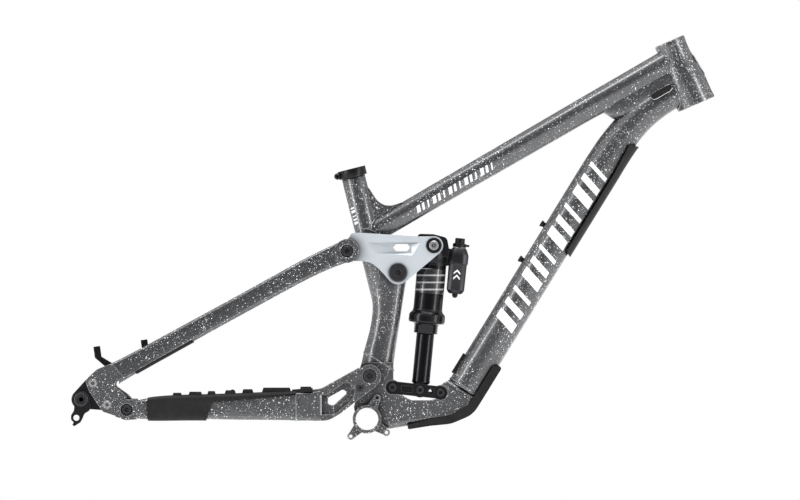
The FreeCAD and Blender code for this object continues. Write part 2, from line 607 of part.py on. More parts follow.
def chainstay(side):
    """One hollow stay with its rear pivot eye."""
    sections = stay_sections(CHAINSTAY, side)
    body = loft(sections).cut(loft(thinner(sections, 2.0)[1:]))
    eye = rod(HORST_PIVOT, 16.0, side * CHAINSTAY_EYE_IN, side * CHAINSTAY_EYE_OUT)
    neck = prism(outline([(-371.5, 31.0), (-340.0, 31.0), (-340.0, 1.0), (-371.5, -1.0)]),
                 side * CHAINSTAY_EYE_IN, side * CHAINSTAY_EYE_OUT)
    neck = neck.common(prism(outline([(-390, 40), (-356.0, 40), (-356.0, -10), (-390, -10)]), -95, 95))
    body = body.fuse(eye.fuse(neck))
    body = body.cut(rod(HORST_PIVOT, 17.4, 0, side * CHAINSTAY_EYE_IN))
    body = body.cut(rod(HORST_PIVOT, 9.5, side * 70, side * 100))
    return sorted(body.Solids, key=lambda s: -s.Volume)[0]


def yoke_arm(side):
    """One side of the forged yoke: pocketed plate with a window and the main pivot eye."""
    arm = prism(outline(YOKE_OUTLINE), side * YOKE_IN, side * YOKE_OUT)
    flare = loft([((-110.0, 19.8, side * 46.6), 0, 22.2, 8.6, 6.2),
                  ((-84.0, 20.4, side * 43.6), 0, 22.6, 7.4, 4.0),
                  ((-70.0, 20.8, side * 42.0), 0, 23.0, 6.0, 1.5)])
    plate = arm.cut(prism(outline([(-130, 90), (-84.0, 90), (-84.0, -20), (-130, -20)]), -60, 60))
    arm = plate.fuse(flare).fuse(rod(MAIN_PIVOT, 17.8, side * YOKE_IN, side * YOKE_OUT))
    arm = arm.cut(sloped_block(YOKE_RECESS, YOKE_RECESS_FLOOR, side * YOKE_OUT, side * (YOKE_OUT - 7.0)))
    arm = arm.cut(prism(outline(YOKE_HOLE), side * 20, side * 70))
    return arm.cut(rod(MAIN_PIVOT, 11.0, side * 20, side * 70))


def yoke():
    """Both arms and the cross brace between them, as one forging."""
    bridge = prism(outline([(-88.0, 34.0, 6), (-67.0, 36.0, 6), (-67.0, 4.0, 6), (-88.0, 4.0, 6)]),
                   -YOKE_IN - 1.0, YOKE_IN + 1.0)
    body = yoke_arm(-1).fuse(yoke_arm(1)).fuse(bridge)
    return body.cut(rod(CLAMP_SCREW, 2.2, -60, 60))


CLAMP_SCREW = (-10.4, 48.7)
RIB_BLOCKS = ((-302, -285, 41.2), (-277, -254, 42.8), (-248, -233, 43.8), (-221, -202, 45.0),
              (-194, -175, 46.6), (-163, -117, 49.0), (-105, -84, 50.6))


def stay_cover():
    """Moulded rubber cover: a sleeve at the rear, a ribbed strip along the top to the yoke."""
    side = -1
    grown = [(x, z, y, hd + 2.2, hw + 2.2, a) for x, z, y, hd, hw, a in CHAINSTAY]
    shell = loft(stay_sections(grown, side))
    sleeve = prism(outline([(-338.8, -12), (-252.0, -12), (-239.6, 27.0), (-90.0, 41.2),
                            (-90.0, 60), (-338.8, 60)]), -100, 0)
    lip = prism(outline([(-116.0, 40.0), (-84.0, 44.0), (-84.0, 48.5), (-116.0, 46.0)]),
                side * 38.0, side * 51.0)
    body = shell.common(sleeve).fuse(lip)
    for x0, x1, top in RIB_BLOCKS:
        t0, t1 = (x0 + 371.5) / 261.5, (x1 + 371.5) / 261.5
        y0, y1 = 85.0 - 52.0 * min(1, t0 * 1.25) + 13 * t0, 85.0 - 52.0 * min(1, t1 * 1.25) + 13 * t1
        half, middle = 6.0, (y0 + y1) / 2
        rib = prism(outline([(x0, top - 8), (x1, top - 8), (x1 - 2.5, top, 1), (x0 + 2.5, top, 1)]),
                    side * (middle - half), side * (middle + half))
        body = body.fuse(rib)
    body = body.cut(loft(stay_sections(CHAINSTAY, side))).cut(yoke_arm(side))
    solids = sorted(body.Solids, key=lambda s: -s.Volume)
    return solids[0]


def hose_guides():
    """Two small loops on top of the left chainstay."""
    found = []
    for x, z, y in ((-209.0, 39.0, 55.2), (-140.0, 41.4, 48.6)):
        loop = ring((x, z + 1.6), 4.8, 2.5, y - 3.0, y + 3.0)
        loop = loop.cut(Part.makeBox(20, 20, 20, V(x - 10, y - 10, z - 20.2)))
        found.append(loop.cut(loft(stay_sections(CHAINSTAY, 1))))
    return found


# ---------------------------------------------------------------- seatstays
SEATSTAY_ANGLE = 28.75
SEATSTAY = [  # x, z, y, half depth, half width, lean
    (-31.0, 260.5, 41.5, 17.2, 5.4, 20.0), (-51.0, 252.6, 41.7, 16.2, 5.3, 24.0),
    (-80.0, 239.5, 44.6, 15.4, 7.0, 27.0), (-140.0, 207.7, 50.0, 14.8, 8.0, SEATSTAY_ANGLE),
    (-220.0, 163.8, 57.0, 14.6, 8.0, SEATSTAY_ANGLE),
    (-310.0, 114.5, 68.0, 15.0, 7.8, SEATSTAY_ANGLE), (-365.0, 84.3, 77.0, 15.6, 6.6, SEATSTAY_ANGLE),
    (-391.0, 70.0, 82.6, 17.0, 5.2, SEATSTAY_ANGLE)]
DROPOUT_PLATE = [(-394.0, 87.0, 10), (-417.7, 77.5, 14), (-436.0, 60.5, 8), (-429.5, 43.5, 4),
                 (-408.5, 12.0, 8), (-386.0, 4.5), (-371.5, 15.0), (-372.0, 36.0, 2),
                 (-390.5, 52.0, 5), (-388.0, 57.5, 5), (-376.0, 66.5)]
DROPOUT_BOLTS = ((-423.9, 56.0), (-401.8, 22.6))
INSERT = [(-434.5, 61.5, 6), (-452.8, 41.3), (-442.0, 31.0), (-437.0, 16.9), (-427.5, 15.8, 6),
          (-404.0, 14.0, 2), (-409.0, 40.0, 8), (-416.0, 66.0, 6)]


def dropout_plate(side):
    """Outer plate of the dropout, clear of the chainstay's eye, with the pivot's inner ear."""
    plate = prism(outline(DROPOUT_PLATE), side * INSERT_OUT, side * DROPOUT_OUT)
    for at in DROPOUT_BOLTS:
        plate = plate.fuse(rod(at, 8.0, side * INSERT_OUT, side * DROPOUT_OUT))
    plate = plate.cut(rod(HORST_PIVOT, 17.3, 0, side * 100))
    web = prism(outline([(-398.0, 24.0), (-398.0, 46.0, 6), (-388.0, 50.0, 4), (-371.0, 38.0, 6),
                         (-356.5, 22.0, 8), (-356.5, 6.0, 8), (-371.5, 0.0, 10), (-389.0, 4.0, 4)]),
                side * HUB_HALF_WIDTH, side * EAR_OUT)
    link = prism(outline([(-398.0, 28.0), (-398.0, 46.0), (-388.0, 50.0), (-376.0, 40.0),
                          (-388.0, 30.0)]), side * HUB_HALF_WIDTH, side * DROPOUT_OUT)
    return plate.fuse(web).fuse(link)


def seatstay(side):
    """One hollow stay with its front eye and its dropout."""
    sections = stay_sections(SEATSTAY, side)
    tube = loft(sections).cut(loft(thinner(sections, 2.0)[2:-1]))
    eye = rod(STAY_PIVOT, 18.6, side * STAY_EYE_IN, side * STAY_EYE_OUT)
    drop = dropout_plate(side)
    body = tube.fuse(eye).fuse(drop)
    body = body.cut(rod(STAY_PIVOT, 5.0, side * 20, side * 60))
    body = body.cut(rod(STAY_PIVOT, 10.0, side * (STAY_EYE_OUT - 4.0), side * 60))
    body = body.cut(rod(HORST_PIVOT, 5.0, side * 60, side * 100))
    body = body.cut(rod(HORST_PIVOT, 17.3, side * EAR_OUT, side * 100))
    for at in DROPOUT_BOLTS:
        body = body.cut(rod(at, 4.0, side * 70, side * 100))
        body = body.cut(rod(at, 6.6, side * (DROPOUT_OUT - 2.0), side * 100))
    return sorted(body.Solids, key=lambda s: -s.Volume)[0]


def seatstay_bridge():
    """Oval brace between the stays, just behind the seat tube."""
    at = (-97.0, 230.5)
    brace = prism(outline([along(along(at, 28.75, dx * 9.0), 118.75, dz * 6.0) + (5.0,)
                           for dx, dz in ((-1, -1), (1, -1), (1, 1), (-1, 1))]), -52.0, 52.0)
    for side in (-1, 1):
        brace = brace.cut(loft(stay_sections(SEATSTAY, side)))
    return sorted(brace.Solids, key=lambda s: abs(s.CenterOfMass.y))[0]


def dropout_insert(side):
    """Replaceable black insert that carries the wheel axle."""
    body = prism(outline(INSERT), side * HUB_HALF_WIDTH, side * INSERT_OUT)
    body = body.fuse(rod(REAR_AXLE, 14.9, side * HUB_HALF_WIDTH, side * INSERT_OUT))
    body = body.removeSplitter()
    for at in DROPOUT_BOLTS:
        body = body.cut(rod(at, 4.0, side * 60, side * 100))
    bore = HANGER_SEAT_R if side < 0 else AXLE_R + 0.1
    return body.cut(rod(REAR_AXLE, bore, side * 60, side * 100))


HANGER_SEAT_R = 8.5
HANGER = [(-452.3, 22.0), (-453.1, 13.6, 4), (-457.4, 6.8, 6), (-457.6, -0.5, 5), (-453.2, -4.6, 1),
          (-455.6, -7.8, 0.6), (-452.6, -10.6, 0.8), (-443.0, -4.6, 4), (-439.6, 1.6, 8),
          (-436.6, 9.0, 6), (-427.0, 14.6, 8), (-428.0, 24.0)]
HANGER_HOLE = (-449.2, 2.6)


def hanger():
    """Derailleur hanger: a ring round the axle and a drilled tongue below it."""
    y0, y1 = -INSERT_OUT - 0.0, -INSERT_OUT - 6.0
    body = prism(outline(HANGER), y0, y1).fuse(rod(REAR_AXLE, 13.4, y0, y1)).removeSplitter()
    body = body.fuse(rod(REAR_AXLE, HANGER_SEAT_R, -HUB_HALF_WIDTH, y0))
    for at in DROPOUT_BOLTS:
        body = body.cut(rod(at, 9.0, -70, -100))
    body = body.cut(prism(outline(DROPOUT_PLATE), y0, -100))
    body = body.cut(rod(REAR_AXLE, AXLE_R + 0.1, -60, -100))
    body = body.cut(rod(HANGER_HOLE, 4.6, -60, -100))
    return sorted(body.Solids, key=lambda s: -s.Volume)[0]


def hanger_nut():
    """Thin keyed ring that holds the hanger, round the axle's end."""
    y0, y1 = -INSERT_OUT - 6.0, -INSERT_OUT - 8.5
    return chamfered_disc(REAR_AXLE, 11.0, y0, y1, 0.9).cut(rod(REAR_AXLE, AXLE_R + 0.6, -60, -100))


def thru_axle():
    """Hollow wheel axle with a keyed head on the left."""
    body = rod(REAR_AXLE, AXLE_R, -INSERT_OUT - 7.0, INSERT_OUT)
    body = body.fuse(chamfered_disc(REAR_AXLE, 9.5, INSERT_OUT + 0.2, INSERT_OUT + 4.5, 1.0))
    body = body.fuse(rod(REAR_AXLE, AXLE_R, INSERT_OUT, INSERT_OUT + 1))
    body = body.cut(rod(REAR_AXLE, 3.6, -120, INSERT_OUT - 9))
    return body.cut(hex_socket(REAR_AXLE, 6.0, INSERT_OUT - 5, INSERT_OUT + 6))


POST_LEAN = 98.0
POST_FRONT = (-346.4, 122.6)
POST_Y = 64.0
POST_HALF_DEPTH, POST_HALF_WIDTH = 5.2, 6.5
POST_HOLE_DEPTH = 10.5


def brake_post(which):
    """A threaded post for the rear brake, with its foot on the left seatstay."""
    front = which == "front"
    face = POST_FRONT if front else along(POST_FRONT, POST_LEAN + 90, POST_MOUNT_SPACING)
    down = POST_LEAN + 180
    base = along(face, down, 17.0)
    ahead, behind = POST_LEAN - 90, POST_LEAN + 90
    rim = [along(face, ahead, POST_HALF_DEPTH) + (0.8,), along(face, behind, POST_HALF_DEPTH) + (0.8,)]
    neck = [along(base, behind, POST_HALF_DEPTH), along(base, ahead, POST_HALF_DEPTH)]
    block = prism(outline(rim + neck), POST_Y - POST_HALF_WIDTH, POST_Y + POST_HALF_WIDTH)
    toe = [(-336.0, 98.0), (-352.0, 90.0)] if front else [(-384.0, 79.0), (-394.0, 70.0)]
    body = block.fuse(prism(outline(neck + toe), POST_Y - POST_HALF_WIDTH, EAR_OUT))
    axis = V(math.cos(math.radians(down)), 0, math.sin(math.radians(down)))
    body = body.cut(Part.makeCylinder(2.5, POST_HOLE_DEPTH, V(face[0], POST_Y, face[1]), axis))
    body = body.cut(loft(stay_sections(SEATSTAY, 1))).cut(dropout_plate(1))
    return sorted(body.Solids, key=lambda s: -s.Volume)[0]


def seatstay_guard():
    """Glued rubber strip under the right seatstay."""
    grown = [(x, z, y, hd + 1.6, hw + 1.6, a) for x, z, y, hd, hw, a in SEATSTAY]
    strip = loft(stay_sections(grown, -1)).cut(loft(stay_sections(SEATSTAY, -1)))
    lean = SEATSTAY_ANGLE
    rear, front = (-357.5, 72.8), (-268.5, 121.6)
    keep = outline([along(rear, lean - 90, 6) + (2,), along(front, lean - 90, 6) + (2,),
                    along(front, lean + 90, 0.5), along(rear, lean + 90, 0.5)])
    strip = strip.common(prism(keep, -100, -50))
    return sorted(strip.Solids, key=lambda s: -s.Volume)[0]


# ---------------------------------------------------------------- rocker link
ROCKER_OUTLINE = [(-31.0, 276.1), (-24.0, 288.0, 5), (-8.5, 288.6, 60), (78.0, 283.0, 60),
                  (103.5, 283.4), (113.9, 258.6), (76.3, 226.8), (62.0, 214.5), (48.0, 209.0),
                  (34.0, 215.2), (24.5, 226.6, 60), (8.0, 242.6, 30), (-10.0, 244.9, 20), (-31.0, 244.9)]
ROCKER_RECESS_RIM = [(0.0, 273.8), (83.0, 274.2), (70.0, 253.4), (14.0, 256.6)]
ROCKER_RECESS_FLOOR = [(37.0, 270.6), (70.5, 271.6), (67.6, 258.2), (41.0, 257.2)]
ROCKER_WINDOW = [(40.3, 265.7, 2), (45.0, 271.3, 2), (62.5, 271.3, 2), (66.9, 265.7, 2),
                 (62.5, 260.2, 2), (45.0, 260.2, 2)]


def rocker_link(side):
    """One machined link plate with three pivot eyes, a dished face and a window."""
    y0, y1 = side * ROCKER_IN, side * ROCKER_OUT
    plate = prism(outline(ROCKER_OUTLINE), y0, y1)
    for at, r in ((STAY_PIVOT, 15.6), (ROCKER_PIVOT, 18.2), (SHOCK_TOP, 14.4)):
        plate = plate.fuse(rod(at, r, y0, y1))
    plate = plate.cut(sloped_block(ROCKER_RECESS_RIM, ROCKER_RECESS_FLOOR, y1, y1 - side * 4.0))
    plate = plate.cut(prism(outline(ROCKER_WINDOW), side * 20, side * 60))
    plate = plate.cut(rod(STAY_PIVOT, 5.0 + PIVOT_CLEARANCE, side * 20, side * 60))
    plate = plate.cut(rod(ROCKER_PIVOT, 11.0, side * 20, side * 60))
    return plate.cut(rod(SHOCK_TOP, 5.1, side * 20, side * 60)).removeSplitter()


# ---------------------------------------------------------------- shock
def shock_turned(profile):
    """A part turned round the shock's own axis; heights run up from the lower eye."""
    return turned(profile, SHOCK_FOOT, SHOCK_UP)


CAN_R = 22.3
LOWER_EYE_R = 11.6
DAMPER_R = 13.6
WIPER_BORE_R = 13.9
CAN_FOOT, CAN_TOP = 88.0, 199.0


def air_can():
    """Outer air sleeve with its collar and wiper ring, open below."""
    outer = [(WIPER_BORE_R, CAN_FOOT), (18.3, CAN_FOOT), (18.3, 100.0), (20.0, 103.0), (27.4, 104.5),
             (27.4, 118.0), (24.0, 121.0), (CAN_R, 125.0), (CAN_R, CAN_TOP), (19.6, CAN_TOP),
             (19.6, 106.0), (WIPER_BORE_R, 103.0)]
    return shock_turned(outer)


def shock_head():
    """Machined head: trunnion block, round flange on the can, neck to the reservoir."""
    dome = shock_turned([(0, CAN_TOP), (23.2, CAN_TOP), (23.2, 214.0), (22.0, 216.0), (0, 216.0)])
    block = prism(outline([(80.5, 262.0), (78.5, 284.5, 3), (82.0, 287.0, 1.5), (103.0, 286.5, 6),
                           (124.0, 281.0, 8), (127.5, 262.0, 4), (126.0, 250.0)]), -19.0, 19.0)
    block = block.common(prism(outline([(70, 240), (70, 300), (140, 300), (140, 240)]), -22, 22))
    trunnion = rod(SHOCK_TOP, 11.0, -ROCKER_IN + 0.3, ROCKER_IN - 0.3)
    neck = prism(outline([(118.0, 236.0), (118.0, 266.0), (140.0, 262.0), (138.0, 240.0)]), -10.0, 10.0)
    body = dome.fuse(block).fuse(trunnion).fuse(neck)
    body = body.cut(shock_turned([(0, 190.0), (13.0, 190.0), (13.0, 212.0), (0, 212.0)]))
    body = body.cut(reservoir_solid(0.0))
    body = body.cut(shock_turned([(0, CAN_TOP - 40), (CAN_R, CAN_TOP - 40), (CAN_R, CAN_TOP), (0, CAN_TOP)]))
    body = body.cut(rod(SHOCK_TOP, 5.0, ROCKER_IN, 12.0)).cut(rod(SHOCK_TOP, 5.0, -ROCKER_IN, -12.0))
    return sorted(body.Solids, key=lambda s: -s.Volume)[0]


RESERVOIR_FOOT = V(136.4, 0, 194.0)
RESERVOIR_R = 15.2
RESERVOIR_HEIGHT = 72.0


def reservoir_solid(shrink):
    profile = [(0, 0), (9.0, 0), (RESERVOIR_R - 3 - shrink, 1.5), (RESERVOIR_R - shrink, 6.0),
               (RESERVOIR_R - shrink, 58.0), (RESERVOIR_R - 3.0 - shrink, 68.0),
               (RESERVOIR_R - 5.0 - shrink, RESERVOIR_HEIGHT), (0, RESERVOIR_HEIGHT)]
    return turned(profile, RESERVOIR_FOOT, SHOCK_UP)


def reservoir():
    hollow = turned([(0, 6.0), (RESERVOIR_R - 2.6, 6.0), (RESERVOIR_R - 2.6, 56.0), (0, 56.0)],
                    RESERVOIR_FOOT, SHOCK_UP)
    return reservoir_solid(0).cut(hollow)


def reservoir_part(profile):
    return turned(profile, RESERVOIR_FOOT, SHOCK_UP)


def compression_dial(base):
    """Adjuster at the top of the reservoir: a knurled ring with a short lever."""
    body = reservoir_part([(2.6, base + 0.3), (9.8, base + 0.3), (10.6, base + 1.0), (10.6, base + 5.4),
                           (9.6, base + 6.2), (7.6, base + 6.6), (7.6, base + 13.4), (6.6, base + 14.6),
                           (2.6, base + 14.6)])
    foot = RESERVOIR_FOOT + SHOCK_UP * (base + 2.0)
    lever = Part.makeBox(6.5, 5.0, 3.4, V(8.5, -2.5, 0))
    lever.Placement = FreeCAD.Placement(foot, FreeCAD.Rotation(V(0, 0, 1), SHOCK_UP))
    return body.fuse(lever).removeSplitter()


def damper_body():
    """Lower shock body: closed tube that telescopes into the can, with the lower eye."""
    tube = shock_turned([(0, 9.0), (11.0, 9.0), (14.2, 12.0), (DAMPER_R + 0.4, 14.0), (DAMPER_R, 15.0),
                         (DAMPER_R, 132.0), (0, 132.0)])
    eye = rod(SHOCK_BOTTOM, LOWER_EYE_R, -SHOCK_PLATE_IN + 0.5, SHOCK_PLATE_IN - 0.5)
    body = tube.fuse(eye)
    hollow = shock_turned([(0, 22.0), (10.8, 22.0), (10.8, 126.0), (0, 126.0)])
    return body.cut(hollow).cut(rod(SHOCK_BOTTOM, 4.0 + PIVOT_CLEARANCE, -40, 40))


def air_piston():
    """Ring on top of the damper body, inside the can."""
    return shock_turned([(6.0, 132.0), (15.6, 132.0), (15.6, 139.0), (6.0, 139.0)])


# ---------------------------------------------------------------- build everything
def both(make):
    return [make(side) for _, side in SIDES]


def build():
    save("head_tube", head_tube())
    save("seat_tube", seat_tube())
    save("seat_mast", seat_mast())
    save("top_tube", top_tube())
    save("down_tube", down_tube())
    save("seat_gusset", seat_gusset())
    save("lower_forging", lower_forging())
    save("bb_shell", bb_shell())
    save("iscg_tabs", *iscg_tabs())
    clamp, clamp_hole = seat_clamp()
    save("seat_clamp", clamp)
    save("seat_clamp_bolt", bolt((clamp_hole.x, clamp_hole.z), 2.6, 4.4, 9.0, -13.0, 3.4, 4.0))
    save("downtube_guard_upper", upper_guard())
    save("downtube_guard_lower", lower_guard())
    save("bottle_boss_inserts", *bottle_inserts())
    save("cable_door", cable_door())
    ports = both(cable_port)
    tube = down_tube_solid().fuse(top_tube_solid())
    save("cable_port_plugs", *[p.cut(tube) for p in ports])
    for name, side in SIDES:
        save("shock_mount_plate_" + name, shock_plate(side))
    save("shock_mount_bolts", *[shock_plate_bolt(at) for at in SHOCK_MOUNT_BOLTS])
    save("shock_lower_bolt", shock_plate_bolt(SHOCK_BOTTOM))
    save("main_pivot_axle", pivot_axle(MAIN_PIVOT, PIVOT_AXLE_R, YOKE_OUT - 2.0, 9.6, YOKE_OUT - 2.4,
                                       YOKE_OUT + 1.4))
    save("rocker_pivot_axle", pivot_axle(ROCKER_PIVOT, PIVOT_AXLE_R, ROCKER_OUT + 0.7, 14.2,
                                         ROCKER_OUT + 0.5, ROCKER_OUT + 3.2))

    for name, side in SIDES:
        save("chainstay_" + name, chainstay(side))
    save("chainstay_yoke", yoke())
    save("chainstay_cover", stay_cover())
    save("hose_guides", *hose_guides())
    inner_race_r = PIVOT_AXLE_R + RUN_CLEARANCE
    save("main_pivot_bearings", *bearing_pair(MAIN_PIVOT, 11.0, inner_race_r, YOKE_IN + 1.0, 7.0))
    save("horst_bearings", *bearing_pair(HORST_PIVOT, 9.5, 5.0 + RUN_CLEARANCE, CHAINSTAY_EYE_IN + 0.4, 5.0))
    save("clamp_screw", bolt(CLAMP_SCREW, 2.2, 5.6, -YOKE_IN - 0.5, -YOKE_OUT - 1.5, 1.5, 3.0))

    for name, side in SIDES:
        save("seatstay_" + name, seatstay(side))
    save("seatstay_bridge", seatstay_bridge())
    for name, side in SIDES:
        save("dropout_insert_" + name, dropout_insert(side))
    save("dropout_bolts", *[bolt(at, 3.95, 6.4, s * (HUB_HALF_WIDTH + 1.0), s * (DROPOUT_OUT + 0.4),
                                 2.4, 5.0) for _, s in SIDES for at in DROPOUT_BOLTS])
    save("derailleur_hanger", hanger())
    save("hanger_nut", hanger_nut())
    for which in ("rear", "front"):
        save("brake_post_" + which, brake_post(which))
    save("seatstay_guard", seatstay_guard())
    save("stay_pivot_bolts", *[bolt(STAY_PIVOT, 5.0, 8.4, s * (ROCKER_IN + 0.6), s * (STAY_EYE_OUT + 0.6),
                                    4.0, 6.0) for _, s in SIDES])
    save("horst_pivot_bolts", *[bolt(HORST_PIVOT, 5.0, 7.6, s * (HUB_HALF_WIDTH + 0.5),
                                     s * (CHAINSTAY_EYE_OUT + 0.2), 3.6, 6.0) for _, s in SIDES])
    save("thru_axle", thru_axle())

    for name, side in SIDES:
        save("rocker_link_" + name, rocker_link(side))
    save("rocker_bearings", *bearing_pair(ROCKER_PIVOT, 11.0, inner_race_r, ROCKER_IN + 0.6, 7.0))

    save("shock_head", shock_head())
    save("air_can", air_can())
    save("reservoir", reservoir())
    save("reservoir_valve_cap", reservoir_part([(0, 0), (0, -6.2), (2.2, -6.2), (4.4, -3.4), (4.4, 0)]))
    save("trunnion_bolts", *[bolt(SHOCK_TOP, 4.95, 7.4, s * 14.0, s * (ROCKER_OUT + 2.4), 2.4, 6.0)
                             for _, s in SIDES])
    save("trunnion_washers", *[ring(SHOCK_TOP, 11.8, 7.45, s * ROCKER_OUT + s * 0.02, s * (ROCKER_OUT + 1.4))
                               for _, s in SIDES])
    base = RESERVOIR_HEIGHT
    save("compression_dial", compression_dial(base))
    save("compression_post", reservoir_part([(0, base), (2.5, base), (2.5, base + 13.6), (0, base + 13.6)]))

    save("damper_body", damper_body())
    save("air_piston", air_piston())


build()
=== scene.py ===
"""Looks of the full-suspension bicycle frame: materials, refined shells, graphics, camera and light.

Metres, in the CAD frame: +X forward, +Y to the rider's left, +Z up, origin at the bottom bracket's centre.
"""
import bpy
import bmesh
import json
import math
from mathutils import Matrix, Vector
from mathutils.bvhtree import BVHTree


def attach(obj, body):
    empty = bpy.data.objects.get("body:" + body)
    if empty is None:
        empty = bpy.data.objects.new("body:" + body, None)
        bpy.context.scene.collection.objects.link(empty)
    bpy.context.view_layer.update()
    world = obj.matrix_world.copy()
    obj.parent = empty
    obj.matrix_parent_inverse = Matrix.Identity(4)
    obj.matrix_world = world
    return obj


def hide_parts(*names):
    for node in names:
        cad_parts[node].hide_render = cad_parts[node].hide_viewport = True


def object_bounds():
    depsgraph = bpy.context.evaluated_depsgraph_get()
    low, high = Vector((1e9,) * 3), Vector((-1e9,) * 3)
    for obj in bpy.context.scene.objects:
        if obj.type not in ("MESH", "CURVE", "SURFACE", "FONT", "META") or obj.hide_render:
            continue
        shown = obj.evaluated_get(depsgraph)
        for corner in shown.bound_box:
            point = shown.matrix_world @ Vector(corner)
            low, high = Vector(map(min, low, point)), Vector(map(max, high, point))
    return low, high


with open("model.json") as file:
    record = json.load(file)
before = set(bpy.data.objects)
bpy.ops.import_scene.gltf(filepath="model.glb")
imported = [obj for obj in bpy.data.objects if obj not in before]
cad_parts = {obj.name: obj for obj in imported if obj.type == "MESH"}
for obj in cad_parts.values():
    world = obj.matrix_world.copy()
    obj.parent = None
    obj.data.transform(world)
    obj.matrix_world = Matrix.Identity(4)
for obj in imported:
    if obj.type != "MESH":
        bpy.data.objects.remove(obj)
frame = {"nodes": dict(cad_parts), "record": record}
CAD_BOX = [list(corner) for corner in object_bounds()]
MM = 0.001


# ---------------------------------------------------------------- node helpers
class Graph:
    """A material's node tree, with short calls for the nodes used here."""
    RECESS = (0.45, 0.97)  # ambient occlusion from fully dark to fully open
    ROLLED = (0.985, 0.86)  # match of rolled and true normal from flat to hard edge

    def __init__(self, name):
        self.material = bpy.data.materials.new(name)
        self.material.use_nodes = True
        self.tree = self.material.node_tree
        self.shader = self.tree.nodes["Principled BSDF"]
        self.place = self.node("ShaderNodeTexCoord").outputs["Object"]

    def node(self, kind, **values):
        made = self.tree.nodes.new(kind)
        for key, value in values.items():
            setattr(made, key, value)
        return made

    def link(self, source, target):
        self.tree.links.new(source, target)

    def set(self, **values):
        for key, value in values.items():
            self.shader.inputs[key.replace("_", " ")].default_value = value

    def math(self, operation, first, second=None, clamp=False):
        made = self.node("ShaderNodeMath", operation=operation, use_clamp=clamp)
        for socket, value in zip(made.inputs, (first, second)):
            if value is None:
                continue
            if isinstance(value, (int, float)):
                socket.default_value = value
            else:
                self.link(value, socket)
        return made.outputs[0]

    def ramp(self, source, low, high, to_low=0.0, to_high=1.0):
        made = self.node("ShaderNodeMapRange")
        self.link(source, made.inputs["Value"])
        for key, value in (("From Min", low), ("From Max", high), ("To Min", to_low), ("To Max", to_high)):
            made.inputs[key].default_value = value
        return made.outputs["Result"]

    def mix(self, factor, first, second):
        made = self.node("ShaderNodeMix", data_type="RGBA")
        for socket, value in ((made.inputs["Factor"], factor), (made.inputs["A"], first),
                              (made.inputs["B"], second)):
            if isinstance(value, (int, float)):
                socket.default_value = value
            elif isinstance(value, tuple):
                socket.default_value = value + (1.0,)
            else:
                self.link(value, socket)
        return made.outputs["Result"]

    def noise(self, scale, detail=3.0, rough=0.5, stretch=None):
        made = self.node("ShaderNodeTexNoise")
        made.inputs["Scale"].default_value = scale
        made.inputs["Detail"].default_value = detail
        made.inputs["Roughness"].default_value = rough
        self.link(self.stretched(stretch), made.inputs["Vector"])
        return made.outputs["Fac"]

    def stretched(self, stretch):
        if not stretch:
            return self.place
        mapping = self.node("ShaderNodeMapping")
        mapping.inputs["Scale"].default_value = stretch
        self.link(self.place, mapping.inputs["Vector"])
        return mapping.outputs["Vector"]

    def cells(self, scale):
        """Distance to the nearest cell point, and that cell's random colour split in three."""
        made = self.node("ShaderNodeTexVoronoi")
        made.inputs["Scale"].default_value = scale
        self.link(self.place, made.inputs["Vector"])
        split = self.node("ShaderNodeSeparateColor")
        self.link(made.outputs["Color"], split.inputs["Color"])
        return made.outputs["Distance"], split.outputs

    def shaded(self, colour, distance, darkest):
        """The colour with painted shade: darker where the surface lies in a recess or a joint, by ambient
        occlusion.
        """
        made = self.node("ShaderNodeAmbientOcclusion", samples=8)
        made.inputs["Distance"].default_value = distance * MM
        level = self.ramp(made.outputs["AO"], *self.RECESS, darkest, 1.0)
        # painted shade: the colour multiplied by the occlusion level
        painted_shade = self.node("ShaderNodeMix", data_type="RGBA", blend_type="MULTIPLY")
        painted_shade.inputs["Factor"].default_value = 1.0
        for socket, value in ((painted_shade.inputs["A"], colour), (painted_shade.inputs["B"], level)):
            if isinstance(value, tuple):
                socket.default_value = value + (1.0,)
            else:
                self.link(value, socket)
        return painted_shade.outputs["Result"]

    def edges(self, radius):
        """1 along hard edges and creases, 0 on open faces: the mask of the painted edge highlights."""
        rolled = self.node("ShaderNodeBevel", samples=6)
        rolled.inputs["Radius"].default_value = radius * MM
        match = self.node("ShaderNodeVectorMath", operation="DOT_PRODUCT")
        self.link(rolled.outputs["Normal"], match.inputs[0])
        self.link(self.node("ShaderNodeNewGeometry").outputs["Normal"], match.inputs[1])
        return self.ramp(match.outputs["Value"], *self.ROLLED)

    def bump(self, height, strength, distance):
        made = self.node("ShaderNodeBump")
        made.inputs["Strength"].default_value = strength
        made.inputs["Distance"].default_value = distance
        self.link(height, made.inputs["Height"])
        self.link(made.outputs["Normal"], self.shader.inputs["Normal"])


def speckles(graph, scale, largest, share):
    """Round dots of random size: one per cell, in a share of the cells."""
    distance, random = graph.cells(scale)
    size = graph.math("POWER", random[0], 1.6)
    radius = graph.math("MULTIPLY_ADD", size, largest * 0.65)
    radius.node.inputs[2].default_value = largest * 0.35
    edge = graph.math("SUBTRACT", radius, distance)
    dot = graph.ramp(edge, 0.0, 0.03)
    chosen = graph.math("LESS_THAN", random[1], share)
    return graph.math("MULTIPLY", dot, chosen)


